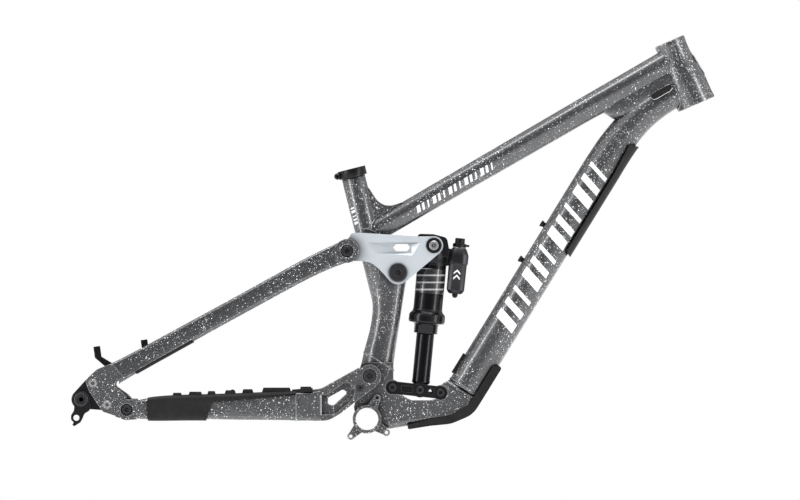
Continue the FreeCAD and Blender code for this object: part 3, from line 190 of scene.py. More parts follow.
def speckled_paint():
    """Dark metallic grey lacquer with fine white splatter under a clear coat, with painted highlights along
    its edges and painted shade in its recesses and joints.
    """
    g = Graph("speckled_paint")
    big = speckles(g, 135.0, 0.15, 0.75)
    middle = speckles(g, 250.0, 0.24, 0.9)
    fine = speckles(g, 500.0, 0.32, 0.9)
    clusters = g.ramp(g.noise(14.0, 2.0), 0.36, 0.56, 0.25, 1.0)
    mist = g.math("MULTIPLY", fine, g.math("MULTIPLY", clusters, 0.85))
    spots = g.math("MULTIPLY", g.math("MAXIMUM", big, middle), g.ramp(clusters, 0.25, 0.7, 0.55, 1.0))
    dots = g.math("MAXIMUM", spots, mist, clamp=True)
    flake = g.ramp(g.noise(900.0, 2.0), 0.3, 0.7)
    base = g.mix(flake, (0.070, 0.071, 0.074), (0.105, 0.106, 0.11))
    # Painted highlight: the lacquer turns pale grey along hard edges and creases.
    edge_highlighted = g.mix(g.math("MULTIPLY", g.edges(2.2), 0.75), base, (0.50, 0.50, 0.51))
    splattered = g.mix(dots, edge_highlighted, (0.90, 0.91, 0.92))
    # Painted shade: the colour darkens in recesses and joints, by ambient occlusion.
    g.link(g.shaded(splattered, 13.0, 0.12), g.shader.inputs["Base Color"])
    g.link(g.ramp(dots, 0.0, 1.0, 0.75, 0.0), g.shader.inputs["Metallic"])
    g.link(g.ramp(flake, 0.0, 1.0, 0.30, 0.38), g.shader.inputs["Roughness"])
    g.bump(dots, 0.2, 0.0002)
    g.set(Coat_Weight=0.5, Coat_Roughness=0.1)
    return g.material


def rubber():
    """Moulded rubber: dark, matt, with a fine spark texture and slight chalky wear."""
    g = Graph("dark_rubber")
    grain = g.noise(1400.0, 3.0, 0.6)
    wear = g.ramp(g.noise(60.0, 4.0), 0.45, 0.75)
    g.link(g.mix(wear, (0.005, 0.0045, 0.0048), (0.010, 0.0095, 0.0095)), g.shader.inputs["Base Color"])
    g.link(g.ramp(grain, 0.3, 0.7, 0.5, 0.68), g.shader.inputs["Roughness"])
    g.bump(grain, 0.3, 0.0003)
    g.set(Specular_IOR_Level=0.25)
    return g.material


def anodised(name, dark, light, rough, metal=0.85):
    """Satin anodised aluminium with a very fine grain, and painted highlights along its edges."""
    g = Graph(name)
    grain = g.noise(1100.0, 4.0, 0.6)
    base = g.mix(g.noise(45.0, 3.0), dark, light)
    # Painted highlight: the colour lightens along hard edges.
    edge_highlight = g.math("MULTIPLY", g.edges(1.2), 0.5)
    g.link(g.mix(edge_highlight, base, (0.15, 0.15, 0.155)), g.shader.inputs["Base Color"])
    g.link(g.ramp(grain, 0.3, 0.7, rough - 0.05, rough + 0.07), g.shader.inputs["Roughness"])
    g.bump(grain, 0.12, 0.0002)
    g.set(Metallic=metal)
    return g.material


def machined(name, dark, light, rough):
    """Turned metal: painted shade in its sockets and under its rims, with fine tool marks and faint smudges.
    """
    g = Graph(name)
    marks = g.noise(1800.0, 2.0, 0.5, (1.0, 0.15, 1.0))
    # Painted shade: darker in sockets, under rims and in joints, by ambient occlusion.
    g.link(g.shaded(g.mix(g.noise(80.0, 3.0), dark, light), 3.0, 0.06), g.shader.inputs["Base Color"])
    g.link(g.ramp(marks, 0.3, 0.7, rough - 0.04, rough + 0.06), g.shader.inputs["Roughness"])
    g.bump(marks, 0.05, 0.0001)
    g.set(Metallic=1.0)
    return g.material


def satin_silver():
    """Pale blue-white satin finish of the rocker link, with painted shade in its recess and joints."""
    g = Graph("silver_satin")
    grain = g.noise(1500.0, 3.0, 0.6)
    # Painted shade: darker in the link's recess and joints, by ambient occlusion.
    g.link(g.shaded(g.mix(g.noise(30.0, 3.0), (0.50, 0.54, 0.58), (0.56, 0.60, 0.64)), 16.0, 0.04),
           g.shader.inputs["Base Color"])
    g.link(g.ramp(grain, 0.3, 0.7, 0.36, 0.46), g.shader.inputs["Roughness"])
    g.bump(grain, 0.1, 0.0002)
    g.set(Metallic=0.55, Coat_Weight=0.3, Coat_Roughness=0.2)
    return g.material


def printed_ink(name, tone, rough):
    """Screen-printed ink with a slightly uneven film."""
    g = Graph(name)
    film = g.noise(240.0, 4.0)
    low = tuple(c * 0.93 for c in tone)
    g.link(g.mix(film, low, tone), g.shader.inputs["Base Color"])
    g.link(g.ramp(film, 0.3, 0.7, rough, rough + 0.1), g.shader.inputs["Roughness"])
    return g.material


LABEL_PITCH = 0.011


def label():
    """Dark shock label with plain pale rings round it."""
    g = Graph("shock_label")
    split = g.node("ShaderNodeSeparateXYZ")
    g.link(g.place, split.inputs[0])
    height = split.outputs["Z"]
    bands = g.math("SINE", g.math("MULTIPLY", height, 2 * math.pi / LABEL_PITCH))
    lines = g.ramp(bands, 0.72, 0.80)
    film = g.noise(200.0, 3.0)
    dark = g.mix(film, (0.010, 0.010, 0.011), (0.018, 0.018, 0.02))
    g.link(g.mix(g.math("MULTIPLY", lines, 0.55), dark, (0.55, 0.56, 0.57)), g.shader.inputs["Base Color"])
    g.link(g.ramp(film, 0.3, 0.7, 0.22, 0.3), g.shader.inputs["Roughness"])
    g.set(Coat_Weight=0.4, Coat_Roughness=0.08)
    return g.material


PAINT = speckled_paint()
RUBBER = rubber()
BLACK = anodised("black_anodised", (0.012, 0.012, 0.013), (0.02, 0.02, 0.022), 0.34)
GLOSS_BLACK = anodised("shock_black", (0.008, 0.008, 0.009), (0.013, 0.013, 0.015), 0.2, 0.7)
SILVER = satin_silver()
STEEL = machined("bare_steel", (0.38, 0.38, 0.39), (0.48, 0.48, 0.49), 0.30)
DARK_STEEL = machined("dark_steel", (0.045, 0.045, 0.048), (0.07, 0.07, 0.074), 0.32)
BRIGHT = machined("port_lip_bright", (0.62, 0.63, 0.64), (0.72, 0.73, 0.74), 0.35)
SATIN_BLACK = anodised("reservoir_black", (0.022, 0.022, 0.025), (0.032, 0.032, 0.036), 0.32, 0.7)
INK = printed_ink("decal_ink", (0.80, 0.80, 0.81), 0.35)
LABEL = label()

SLOT_MATERIAL = {"speckled_paint": PAINT, "black_anodised": BLACK, "silver_satin": SILVER,
                 "bare_steel": STEEL, "dark_rubber": RUBBER}
DARK_STEEL_NODES = ("shock_mount_bolts", "shock_lower_bolt", "main_pivot_axle", "rocker_pivot_axle",
                    "stay_pivot_bolts", "horst_pivot_bolts", "clamp_screw", "seat_clamp_bolt", "thru_axle",
                    "hanger_nut")
NODE_MATERIAL = {"damper_body": GLOSS_BLACK, "air_can": GLOSS_BLACK, "shock_head": BLACK,
                 "compression_dial": BLACK, "bb_shell": PAINT, "cable_door": BLACK,
                 **dict.fromkeys(DARK_STEEL_NODES, DARK_STEEL)}
EDGE_WIDTH = {"rocker_link_right": 1.1, "rocker_link_left": 1.1, "chainstay_yoke": 1.2, "lower_forging": 1.6,
              "seatstay_right": 0.9, "seatstay_left": 0.9, "head_tube": 0.8}
USUAL_EDGE_WIDTH = 0.5
SHARPEST_EDGE = 32.0


def soften(obj, width):
    """Merges a node's split corners and rolls its hard edges, so that they catch the light."""
    weld = obj.modifiers.new("weld", "WELD")
    weld.merge_threshold = 0.02 * MM
    bevel = obj.modifiers.new("edge", "BEVEL")
    bevel.width = width * MM
    bevel.segments = 2
    bevel.limit_method = "ANGLE"
    bevel.angle_limit = math.radians(SHARPEST_EDGE)
    bevel.harden_normals = True
    bevel.use_clamp_overlap = True


def dress_cad_nodes():
    """Every CAD node gets its slot's material and softly rolled edges."""
    slots = {s["node"]: s["material_slot"] for s in frame["record"]["subparts"]}
    for name, obj in frame["nodes"].items():
        obj.data.materials.clear()
        obj.data.materials.append(NODE_MATERIAL.get(name, SLOT_MATERIAL[slots[name]]))
        soften(obj, EDGE_WIDTH.get(name, USUAL_EDGE_WIDTH))


# ---------------------------------------------------------------- mesh helpers
def add_mesh(name, verts, faces, material, body, sharp=38.0):
    """A smooth-shaded piece that rides on a CAD body. Edges sharper than the angle stay crisp."""
    mesh = bpy.data.meshes.new(name)
    mesh.from_pydata([tuple(v) for v in verts], [], faces)
    mesh.validate()
    work = bmesh.new()
    work.from_mesh(mesh)
    bmesh.ops.recalc_face_normals(work, faces=work.faces)
    work.to_mesh(mesh)
    work.free()
    mesh.shade_smooth()
    mesh.set_sharp_from_angle(angle=math.radians(sharp))
    mesh.materials.append(material)
    obj = bpy.data.objects.new(name, mesh)
    bpy.context.scene.collection.objects.link(obj)
    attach(obj, body)
    return obj


def rounded(corners, radius, steps=4):
    """A closed outline of 2D corners, with each corner rounded."""
    out = []
    count = len(corners)
    for i, corner in enumerate(corners):
        at = Vector(corner)
        before, after = Vector(corners[i - 1]) - at, Vector(corners[(i + 1) % count]) - at
        reach = min(radius, before.length * 0.45, after.length * 0.45)
        start, end = at + before.normalized() * reach, at + after.normalized() * reach
        for k in range(steps + 1):
            t = k / steps
            out.append(start * (1 - t) ** 2 + at * 2 * t * (1 - t) + end * t * t)
    return out


def both_sides(half):
    """Corners (side, up) of the right half, from top to bottom, then their mirror images."""
    return half + [(-x, y) for x, y in reversed(half)]


def smooth_rows(rows, steps):
    """Catmull-Rom through rows of numbers, so that a tube's stations change smoothly."""
    out = []
    for i in range(len(rows) - 1):
        a, b, c, d = rows[max(i - 1, 0)], rows[i], rows[i + 1], rows[min(i + 2, len(rows) - 1)]
        for k in range(steps):
            t = k / steps
            out.append([0.5 * (2 * q + (r - p) * t + (2 * p - 5 * q + 4 * r - s) * t * t
                               + (3 * q - p - 3 * r + s) * t ** 3) for p, q, r, s in zip(a, b, c, d)])
    out.append(list(rows[-1]))
    return out


def ring_at(row, shape, radius):
    """A section's points. A row is x, z, y, lean in degrees, half depth and half width, in mm."""
    x, z, y, lean, depth, width = row
    up = Vector((-math.sin(math.radians(lean)), 0, math.cos(math.radians(lean))))
    corners = [(side * width, rise * depth) for side, rise in shape]
    return [(Vector((x, y, z)) + up * p.y + Vector((0, p.x, 0))) * MM for p in rounded(corners, radius)]


def skin(rings, closed_ends=True):
    """Vertices and faces of a tube through rings of equal length."""
    verts = [v for ring in rings for v in ring]
    n = len(rings[0])
    faces = []
    for i in range(len(rings) - 1):
        for k in range(n):
            q = (k + 1) % n
            faces.append((i * n + k, i * n + q, (i + 1) * n + q, (i + 1) * n + k))
    if closed_ends:
        faces.append(tuple(reversed(range(n))))
        faces.append(tuple(range((len(rings) - 1) * n, len(rings) * n)))
    return verts, faces


def tube(name, rows, shape, radius, replaced=()):
    """A painted tube of the front triangle, through its section rows."""
    verts, faces = skin([ring_at(row, shape, radius) for row in rows])
    obj = add_mesh(name, verts, faces, PAINT, "front_triangle")
    if replaced:
        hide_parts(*replaced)
    return obj


def turned(name, profile, base, direction, material, body, steps=64, replaced=(), sharp=30.0):
    """A ring-shaped solid from a closed profile of (radius, height) pairs in mm, round a line from base."""
    axis = Vector(direction).normalized()
    across = axis.orthogonal().normalized()
    third = axis.cross(across)
    outward = [across * math.cos(a) + third * math.sin(a)
               for a in (2 * math.pi * k / steps for k in range(steps))]
    rings = [[(Vector(base) + axis * height + out * radius) * MM for out in outward]
             for radius, height in profile]
    verts, faces = skin(rings, closed_ends=False)
    last = (len(rings) - 1) * steps
    for k in range(steps):
        after = (k + 1) % steps
        faces.append((last + k, last + after, after, k))
    obj = add_mesh(name, verts, faces, material, body, sharp)
    if replaced:
        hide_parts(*replaced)
    return obj


def surface_of(obj):
    """A ray-cast tree of a piece as it stands, in the row frame."""
    work = bmesh.new()
    work.from_mesh(obj.data)
    tree = BVHTree.FromBMesh(work)
    work.free()
    return tree


BEAD_SIDES = 8
BEAD_RIPPLE = 0.13  # swell of each ripple, as a share of the radius
BEAD_FLATNESS = 0.55


def bead(name, points, radius=1.9, pitch=2.4, material=PAINT):
    """A closed weld bead along points in mm: a fine rope of overlapping ripples."""
    pts = [Vector(p) for p in points]
    total = sum((pts[(i + 1) % len(pts)] - pts[i]).length for i in range(len(pts)))
    count = max(24, int(total / (pitch / 4)))
    path, i, gone = [], 0, 0.0
    for k in range(count):
        goal = total * k / count
        while gone + (pts[(i + 1) % len(pts)] - pts[i]).length < goal:
            gone += (pts[(i + 1) % len(pts)] - pts[i]).length
            i += 1
        step = pts[(i + 1) % len(pts)] - pts[i]
        path.append(pts[i] + step * ((goal - gone) / max(step.length, 1e-9)))
    centre = sum(path, Vector()) / count
    rings = []
    for k, p in enumerate(path):
        ahead = (path[(k + 1) % count] - path[k - 1]).normalized()
        out = (p - centre).normalized()
        out = (out - ahead * out.dot(ahead)).normalized()
        side = ahead.cross(out)
        swell = radius * (1.0 + BEAD_RIPPLE * math.sin(2 * math.pi * total * k / count / pitch))
        rings.append([(p + out * (math.sin(a) * swell * BEAD_FLATNESS) + side * (math.cos(a) * swell)) * MM
                      for a in (2 * math.pi * j / BEAD_SIDES for j in range(BEAD_SIDES))])
    verts, faces = skin(rings, closed_ends=False)
    last = (count - 1) * BEAD_SIDES
    for j in range(BEAD_SIDES):
        after = (j + 1) % BEAD_SIDES
        faces.append((last + j, last + after, after, j))
    return add_mesh(name, verts, faces, material, "front_triangle", 60)


CAST_START = 200.0  # mm before the middle plane, clear of every piece
DECAL_LIFT = 0.15


def decal(name, target, quads, direction, body="front_triangle", fineness=10):
    """Printed marks: quads of four points in mm, dropped along a direction onto a piece."""
    tree = surface_of(target)
    way = Vector(direction).normalized()
    verts, faces = [], []
    for quad in quads:
        a, b, c, d = (Vector(p) for p in quad)
        if any(tree.ray_cast((p - way * CAST_START) * MM, way)[0] is None for p in (a, b, c, d)):
            continue
        start = len(verts)
        n = fineness
        for i in range(n + 1):
            for j in range(n + 1):
                u, v = i / n, j / n
                p = (a * (1 - u) + b * u) * (1 - v) + (d * (1 - u) + c * u) * v
                hit = tree.ray_cast((p - way * CAST_START) * MM, way)
                spot = hit[0] if hit[0] is not None else p * MM
                verts.append(spot - way * DECAL_LIFT * MM)
        for i in range(n):
            for j in range(n):
                k = start + i * (n + 1) + j
                faces.append((k, k + 1, k + n + 2, k + n + 1))
    return add_mesh(name, verts, faces, INK, body, 60)


# ---------------------------------------------------------------- front triangle
def along(origin, degrees, distance):
    """The (x, z) point at a distance from origin, at an angle above +X."""
    a = math.radians(degrees)
    return (origin[0] + distance * math.cos(a), origin[1] + distance * math.sin(a))


def marker(foot, lengthwise, crosswise):
    """A function from (distance along, distance across) to a point in the frame's middle plane."""
    def spot(distance, across):
        x, z = along(along(foot, lengthwise, distance), crosswise, across)
        return (x, 0.0, z)
    return spot


HEAD_ANGLE = 66.5
HEAD_FOOT = (511.0, 0.0, 487.5)
HEAD_UP = (-math.cos(math.radians(HEAD_ANGLE)), 0.0, math.sin(math.radians(HEAD_ANGLE)))
HEAD_LENGTH = 107.0
TOP_ANGLE = 30.24
TOP_START = (55.3, 315.0)
TOP_ROUNDING = 5.0
DOWN_ANGLE = 58.34
DOWN_FOOT = (150.6, 46.4)
DOWN_STRAIGHT = 405.0
DOWN_ROUNDING = 7.0
DOWN_STEPS = 12
SEAT_ANGLE = 76.0
TUBE_STEPS = 8

TOP_SHAPE = both_sides([(-0.40, 1.0), (-0.90, 0.60), (-1.0, 0.08), (-0.80, -0.86), (-0.5, -1.0)])
DEEP_END_SHAPE = both_sides([(-0.6, 1.0), (-1.0, 0.6), (-1.0, -0.6), (-0.6, -1.0)])
DOWN_SHAPE = both_sides([(-0.42, 1.0), (-0.92, 0.42), (-1.0, -0.12), (-0.84, -0.84), (-0.5, -1.0)])
MAST_SHAPE = both_sides([(-0.34, 1.0), (-0.86, 0.66), (-1.0, 0.1), (-0.9, -0.55), (-0.42, -1.0)])


def head_tube():
    """Tapered head tube: reinforced rims, headset seats inside."""
    top = HEAD_LENGTH
    outside = [(28.6, 0.0), (30.0, 0.6), (30.4, 1.6), (30.4, 9.0), (29.8, 11.0), (29.8, 34.0),
               (28.8, 46.0), (27.0, 58.0), (25.2, 68.0), (24.0, 78.0), (23.7, 96.0), (24.3, 98.5),
               (24.3, top - 1.4), (23.7, top - 0.5), (22.8, top)]
    inside = [(22.0, top - 0.8), (22.0, top - 14.0), (20.5, top - 14.0), (20.5, 70.0), (24.0, 40.0),
              (26.0, 14.0), (28.0, 14.0), (28.0, 0.8), (28.6, 0.0)]
    profile = [tuple(row) for row in smooth_rows(outside, 3)] + inside
    return turned("head_tube_shell", profile, HEAD_FOOT, HEAD_UP, PAINT, "front_triangle",
                  96, ("head_tube",), 24)


TOP_TUBE = (  # distance along the axis, drop below it, half depth, half width
    (-75.0, -1.2, 17.4, 16.6), (-42.0, -1.2, 17.4, 17.2), (0.0, -1.2, 17.4, 18.6), (90.0, -1.0, 17.7, 19.6),
    (180.0, -0.5, 18.2, 20.5), (270.0, -0.2, 18.6, 21.4), (330.0, 0.0, 18.9, 22.0), (400.0, 1.5, 20.2, 22.6),
    (492.0, 3.5, 22.2, 22.4))
TOP_TUBE_DEEP_END = (  # the same tube's lower half, where it deepens over the down tube's bend
    (340.0, 9.0, 7.0, 15.5), (349.0, 11.0, 8.6, 16.8), (358.0, 18.0, 17.4, 17.8), (372.0, 23.0, 19.4, 18.6),
    (392.0, 25.0, 19.4, 19.4), (430.0, 24.0, 15.8, 20.2), (480.0, 24.0, 15.8, 20.2))


def top_tube_rows(stations):
    """Section rows from stations along the top tube's axis."""
    rows = []
    for reach, drop, depth, width in stations:
        x, z = along(along(TOP_START, TOP_ANGLE, reach), TOP_ANGLE - 90, drop)
        rows.append((x, z, 0.0, TOP_ANGLE, depth, width))
    return smooth_rows(rows, TUBE_STEPS)


def down_tube_rows():
    """Straight from the forging for three equal stretches, then bent forward into the head tube."""
    points = [along(DOWN_FOOT, DOWN_ANGLE, third * DOWN_STRAIGHT / 3) for third in range(4)]
    points += [(392.0, 434.0), (424.0, 470.0), (462.0, 497.5), (500.0, 515.0)]
    path = smooth_rows(points, DOWN_STEPS)
    rows = []
    last = len(path) - 1
    bend = 3 * DOWN_STEPS
    for i, (x, z) in enumerate(path):
        before, after = path[max(i - 1, 0)], path[min(i + 1, last)]
        lean = math.degrees(math.atan2(after[1] - before[1], after[0] - before[0]))
        t = max(0.0, (i - bend) / (last - bend))
        rows.append((x, z, 0.0, lean, 27.0 - 5.0 * t, 26.0 - 3.0 * t * t))
    return rows


def mast_rows():
    """The wide lower seat tube, front to back from its two side outlines."""
    rows = []
    for z, rear, front, half in ((285.0, -17.0, 36.0, 19.0), (268.0, -13.0, 37.0, 19.5),
                                 (256.0, -9.8, 39.0, 20.0), (243.0, -6.2, 54.0, 20.5),
                                 (222.0, 0.2, 61.2, 21.0), (200.0, 5.0, 58.2, 21.0),
                                 (172.0, 8.8, 54.0, 21.0), (141.0, 5.0, 49.2, 22.0),
                                 (107.0, -3.9, 44.0, 24.0), (84.0, -9.0, 41.0, 25.5)):
        rows.append(((rear + front) / 2, z, 0.0, -90.0, (front - rear) / 2, half))
    return smooth_rows(rows, TUBE_STEPS)


def front_triangle():
    """The head tube and the four tube pieces that refine or replace their CAD nodes."""
    head = head_tube()
    top = tube("top_tube_shell", top_tube_rows(TOP_TUBE), TOP_SHAPE, TOP_ROUNDING, ("top_tube",))
    deep = tube("top_tube_deep_end", top_tube_rows(TOP_TUBE_DEEP_END), DEEP_END_SHAPE, 8.0)
    down = tube("down_tube_shell", down_tube_rows(), DOWN_SHAPE, DOWN_ROUNDING, ("down_tube",))
    mast = tube("seat_mast_shell", mast_rows(), MAST_SHAPE, 9.0, ("seat_mast",))
    return head, top, deep, down, mast


# ---------------------------------------------------------------- welds
def cast_any(trees, start, way):
    """The first surface that a ray meets, in metres."""
    best = None
    for tree in trees:
        spot, _, _, distance = tree.ray_cast(start, way)
        if spot is not None and (best is None or distance < best[0]):
            best = (distance, spot)
    return best[1] if best else None


def seam(name, row, shape, rounding, degrees, targets, size=1.9):
    """A weld bead where a tube, run on from one of its sections, meets its neighbours."""
    way = Vector((math.cos(math.radians(degrees)), 0, math.sin(math.radians(degrees))))
    trees = [surface_of(t) for t in targets]
    spots = [cast_any(trees, p, way) for p in ring_at(row, shape, rounding)]
    spots = [p / MM for p in spots if p is not None]
    return bead(name, spots, size)


def slanted_seam(name, rear, front, targets, size):
    """A weld bead round an upright tube, on a plane that leans from rear (x, z) to front (x, z) in mm."""
    steps = 72
    clear_of_tube = 60
    trees = [surface_of(t) for t in targets]
    axis_x, slope = (rear[0] + front[0]) / 2, (front[1] - rear[1]) / (front[0] - rear[0])
    spots = []
    for k in range(steps):
        a = 2 * math.pi * k / steps
        out = Vector((math.cos(a), math.sin(a), slope * math.cos(a)))
        centre = Vector((axis_x, 0, (rear[1] + front[1]) / 2))
        spot = cast_any(trees, (centre + out * clear_of_tube) * MM, -out.normalized())
        if spot is not None:
            spots.append(spot / MM)
    return bead(name, spots, size)


def welds(head, mast):
    """Beads at both ends of the top and down tubes and at the foot of the mast."""
    nodes = frame["nodes"]
    top_row = (*along(along(TOP_START, TOP_ANGLE, 400), TOP_ANGLE - 90, 3.4), 0.0, TOP_ANGLE, 22.5, 22.9)
    seam("weld_top_tube_head", top_row, TOP_SHAPE, TOP_ROUNDING, TOP_ANGLE - 1, [head])
    down_row = (452.0, 491.5, 0.0, 31.0, 24.0, 23.8)
    seam("weld_down_tube_head", down_row, DOWN_SHAPE, DOWN_ROUNDING, 26.0, [head])
    seat_row = (*along(along(TOP_START, TOP_ANGLE, 80), TOP_ANGLE - 90, -1.0), 0.0, TOP_ANGLE, 17.9, 19.8)
    seam("weld_top_tube_seat", seat_row, TOP_SHAPE, TOP_ROUNDING, TOP_ANGLE + 180,
         [mast, nodes["seat_tube"]], 1.6)
    slanted_seam("weld_seat_mast", (-5.0, 104.0), (40.0, 76.0), [mast, nodes["lower_forging"]], 1.5)
    foot = (*along(DOWN_FOOT, DOWN_ANGLE, 3.0), 0.0, DOWN_ANGLE, 27.0, 26.0)
    bead("weld_down_tube_foot", [p / MM for p in ring_at(foot, DOWN_SHAPE, DOWN_ROUNDING)], 1.8)


# ---------------------------------------------------------------- printed graphics
STRIPE_WIDTHS = (0.62, 0.42, 0.26)  # shares of the pitch, in turn
SEAT_STRIPE_FOOT = (-14.0, 300.0)
SIDES = (("right", (0, 1, 0)), ("left", (0, -1, 0)))  # each side and the way that its marks are dropped


def stripe_quads(spot, start, pitch, count, low, high, slant):
    """Plain slanted stripes between two heights across a tube, in widths that repeat."""
    quads = []
    for k in range(count):
        a = start + k * pitch
        b = a + STRIPE_WIDTHS[k % len(STRIPE_WIDTHS)] * pitch
        lean = slant * (high - low)
        quads.append([spot(a, low), spot(b, low), spot(b + lean, high), spot(a + lean, high)])
    return quads


def graphics(top, down):
    """Stripes on both sides of the down tube, top tube and seat tube."""
    on_down = marker(DOWN_FOOT, DOWN_ANGLE, DOWN_ANGLE + 90)
    on_top = marker(TOP_START, TOP_ANGLE, TOP_ANGLE + 90)
    on_seat = marker(SEAT_STRIPE_FOOT, 180 - SEAT_ANGLE, 90 - SEAT_ANGLE)
    big = stripe_quads(on_down, 112.0, 25.0, 12, -17.5, 17.5, 0.3)
    small = stripe_quads(on_top, 22.0, 9.5, 15, -8.5, 2.0, 0.35)
    short = stripe_quads(on_seat, 2.0, 6.0, 5, -4.6, 1.2, 0.2)
    for side, way in SIDES:
        decal("down_tube_bars_" + side, down, big, way)
        decal("top_tube_bars_" + side, top, small, way)
        decal("seat_tube_bars_" + side, frame["nodes"]["seat_tube"], short, way)


# ---------------------------------------------------------------- lugs, cable ports and badge
def lug_bosses():
    """Thick walls round the forging's two shock lugs, behind the mount plates."""
    inside, outside, half = 8.8, 11.6, 15.6
    wall = [(inside, -half), (outside, -half), (outside, half), (inside, half), (inside, -half)]
    for name, x, z in (("rear", 39.5, 49.0), ("front", 114.0, 40.8)):
        turned("lug_boss_" + name, wall, (x, 0.0, z), (0.0, 1.0, 0.0), PAINT, "front_triangle")


PORT_AT = (456.3, 506.5)
PORT_LEAN = 30.0
PORT_HALF_LENGTH = 17.5
PORT_HALF = 4.3
LIP_OUT = 0.9
LIP_RADIUS = 1.15
NO_RIPPLE = 400.0  # a ripple pitch far longer than the lip


def port_rim(side, way, targets):
    """The raised lip round a cable port, laid on the tubes by casting across the frame."""
    trees = [surface_of(t) for t in targets]
    spots = []
    for end, turn in ((1, 0), (-1, 180)):
        centre = along(PORT_AT, PORT_LEAN, end * (PORT_HALF_LENGTH - PORT_HALF))
        for k in range(13):
            a = math.radians(PORT_LEAN + turn - 90 + 15 * k)
            x = centre[0] + math.cos(a) * (PORT_HALF + LIP_OUT)
            z = centre[1] + math.sin(a) * (PORT_HALF + LIP_OUT)
            spot = cast_any(trees, Vector((x, -CAST_START * way, z)) * MM, Vector((0, way, 0)))
            if spot is not None:
                spots.append(spot / MM)
    return bead("cable_port_lip_" + side, spots, LIP_RADIUS, NO_RIPPLE, BRIGHT)


def head_badge():
    """A plain oval badge on the front of the head tube, which narrows upwards."""
    low_radius, narrowing = 29.8, 5.6
    narrow_from, narrow_over = 34.0, 40.0
    proud = 0.9
    rows = []
    up = Vector(HEAD_UP)
    front = Vector((up.z, 0, -up.x))
    for lift, half in ((38.0, 0.5), (42.0, 5.5), (50.0, 8.5), (60.0, 9.0), (70.0, 7.0), (76.0, 3.0),
                       (78.0, 0.5)):
        base = Vector(HEAD_FOOT) + up * lift
        radius = low_radius - narrowing * min(1.0, max(0.0, (lift - narrow_from) / narrow_over)) + proud
        rows.append([(base + front * (math.cos(a) * radius) + Vector((0, math.sin(a) * radius, 0))) * MM
                     for a in (half / radius * t for t in (-1, -0.66, -0.33, 0, 0.33, 0.66, 1))])
    verts = [p for row in rows for p in row]
    n = len(rows[0])
    faces = [(i * n + k, i * n + k + 1, (i + 1) * n + k + 1, (i + 1) * n + k)
             for i in range(len(rows) - 1) for k in range(n - 1)]
    badge = add_mesh("head_badge", verts, faces, STEEL, "front_triangle", 60)
    thick = badge.modifiers.new("thickness", "SOLIDIFY")
    thick.thickness = 0.8 * MM
    thick.offset = 1.0
    return badge


# ---------------------------------------------------------------- shock details
SHOCK_TOP_PIVOT = (103.5, 0.0, 269.0)
SHOCK_LENGTH = 225.0
SHOCK_LEAN = 5.4
SHOCK_UP = (math.sin(math.radians(SHOCK_LEAN)), 0.0, math.cos(math.radians(SHOCK_LEAN)))
SHOCK_EYE = tuple(a - SHOCK_LENGTH * b for a, b in zip(SHOCK_TOP_PIVOT, SHOCK_UP))
RESERVOIR_FOOT = (136.4, 0.0, 194.0)
RESERVOIR_STRETCH = 1.18  # length over the outline's own


def shock_trim():
    """The can's label and two rings, and the collar's grip."""
    can = [(21.9, 150.0), (22.55, 150.4), (22.55, 188.6), (21.9, 189.0)]
    turned("can_label", can + [can[0]], SHOCK_EYE, SHOCK_UP, LABEL, "shock_body", 96)
    for i, (low, high, out) in enumerate(((123.5, 125.5, 23.0), (194.5, 198.6, 23.1))):
        ring = [(21.8, low), (out, low + 0.5), (out, high - 0.5), (21.8, high)]
        turned("can_ring_%d" % i, ring + [ring[0]], SHOCK_EYE, SHOCK_UP, BLACK, "shock_body",
               96)
    knurl = [(27.0, 106.0), (28.0, 106.8), (28.0, 115.8), (27.0, 116.6)]
    turned("collar_grip", knurl + [knurl[0]], SHOCK_EYE, SHOCK_UP, GLOSS_BLACK, "shock_body",
           24)


def reservoir_panel():
    """The reservoir's faceted shell, wider at its shoulder."""
    shape = rounded([(-12.6, -11.5), (-5.6, -16.4), (5.6, -16.4), (12.6, -11.5), (12.6, 11.5), (5.6, 16.4),
                     (-5.6, 16.4), (-12.6, 11.5)], 2.2, 3)
    up = Vector(SHOCK_UP)
    across = Vector((up.z, 0, -up.x))
    rings = []
    for height, grow in ((0.0, 0.62), (2.5, 0.80), (6.0, 0.92), (44.0, 0.95), (46.0, 0.98), (47.0, 1.04),
                         (60.0, 1.04), (64.0, 0.94), (69.0, 0.80), (72.0, 0.66)):
        base = Vector(RESERVOIR_FOOT) + up * height
        rings.append([(base + across * (p.x * grow * RESERVOIR_STRETCH) + Vector((0, p.y * grow, 0))) * MM
                      for p in shape])
    verts, faces = skin(rings)
    obj = add_mesh("reservoir_shell", verts, faces, SATIN_BLACK, "shock_body", 28)
    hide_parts("reservoir")
    return obj


def reservoir_mark(panel):
    """Two plain chevrons on each face of the reservoir."""
    at = marker((RESERVOIR_FOOT[0], RESERVOIR_FOOT[2]), 90 - SHOCK_LEAN, -SHOCK_LEAN)
    half, thick = 5.0, 3.0
    quads = []
    for low in (22.0, 30.0):
        tip = low + half
        quads.append([at(low, -half), at(tip, 0.0), at(tip + thick, 0.0), at(low + thick, -half)])
        quads.append([at(tip, 0.0), at(low, half), at(low + thick, half), at(tip + thick, 0.0)])
    for side, way in SIDES:
        decal("reservoir_mark_" + side, panel, quads, way, body="shock_body",
              fineness=3)


# ---------------------------------------------------------------- camera, light and floor
VIEW_WIDTH = 1.24
VIEW_SHIFT = 0.05115  # the view's middle, forward of the bottom bracket
VIEW_HEIGHT = 0.26195
CAMERA_DISTANCE = 30.0


def camera():
    """A long lens square on to the drive side."""
    data = bpy.data.cameras.new("camera")
    data.sensor_width = 36.0
    data.lens = data.sensor_width * CAMERA_DISTANCE / VIEW_WIDTH
    data.shift_x = VIEW_SHIFT / VIEW_WIDTH
    data.clip_end = 90.0
    obj = bpy.data.objects.new("camera", data)
    obj.location = (0.0, -CAMERA_DISTANCE, VIEW_HEIGHT)
    obj.rotation_euler = (math.pi / 2, 0, 0)
    bpy.context.scene.collection.objects.link(obj)
    bpy.context.scene.camera = obj


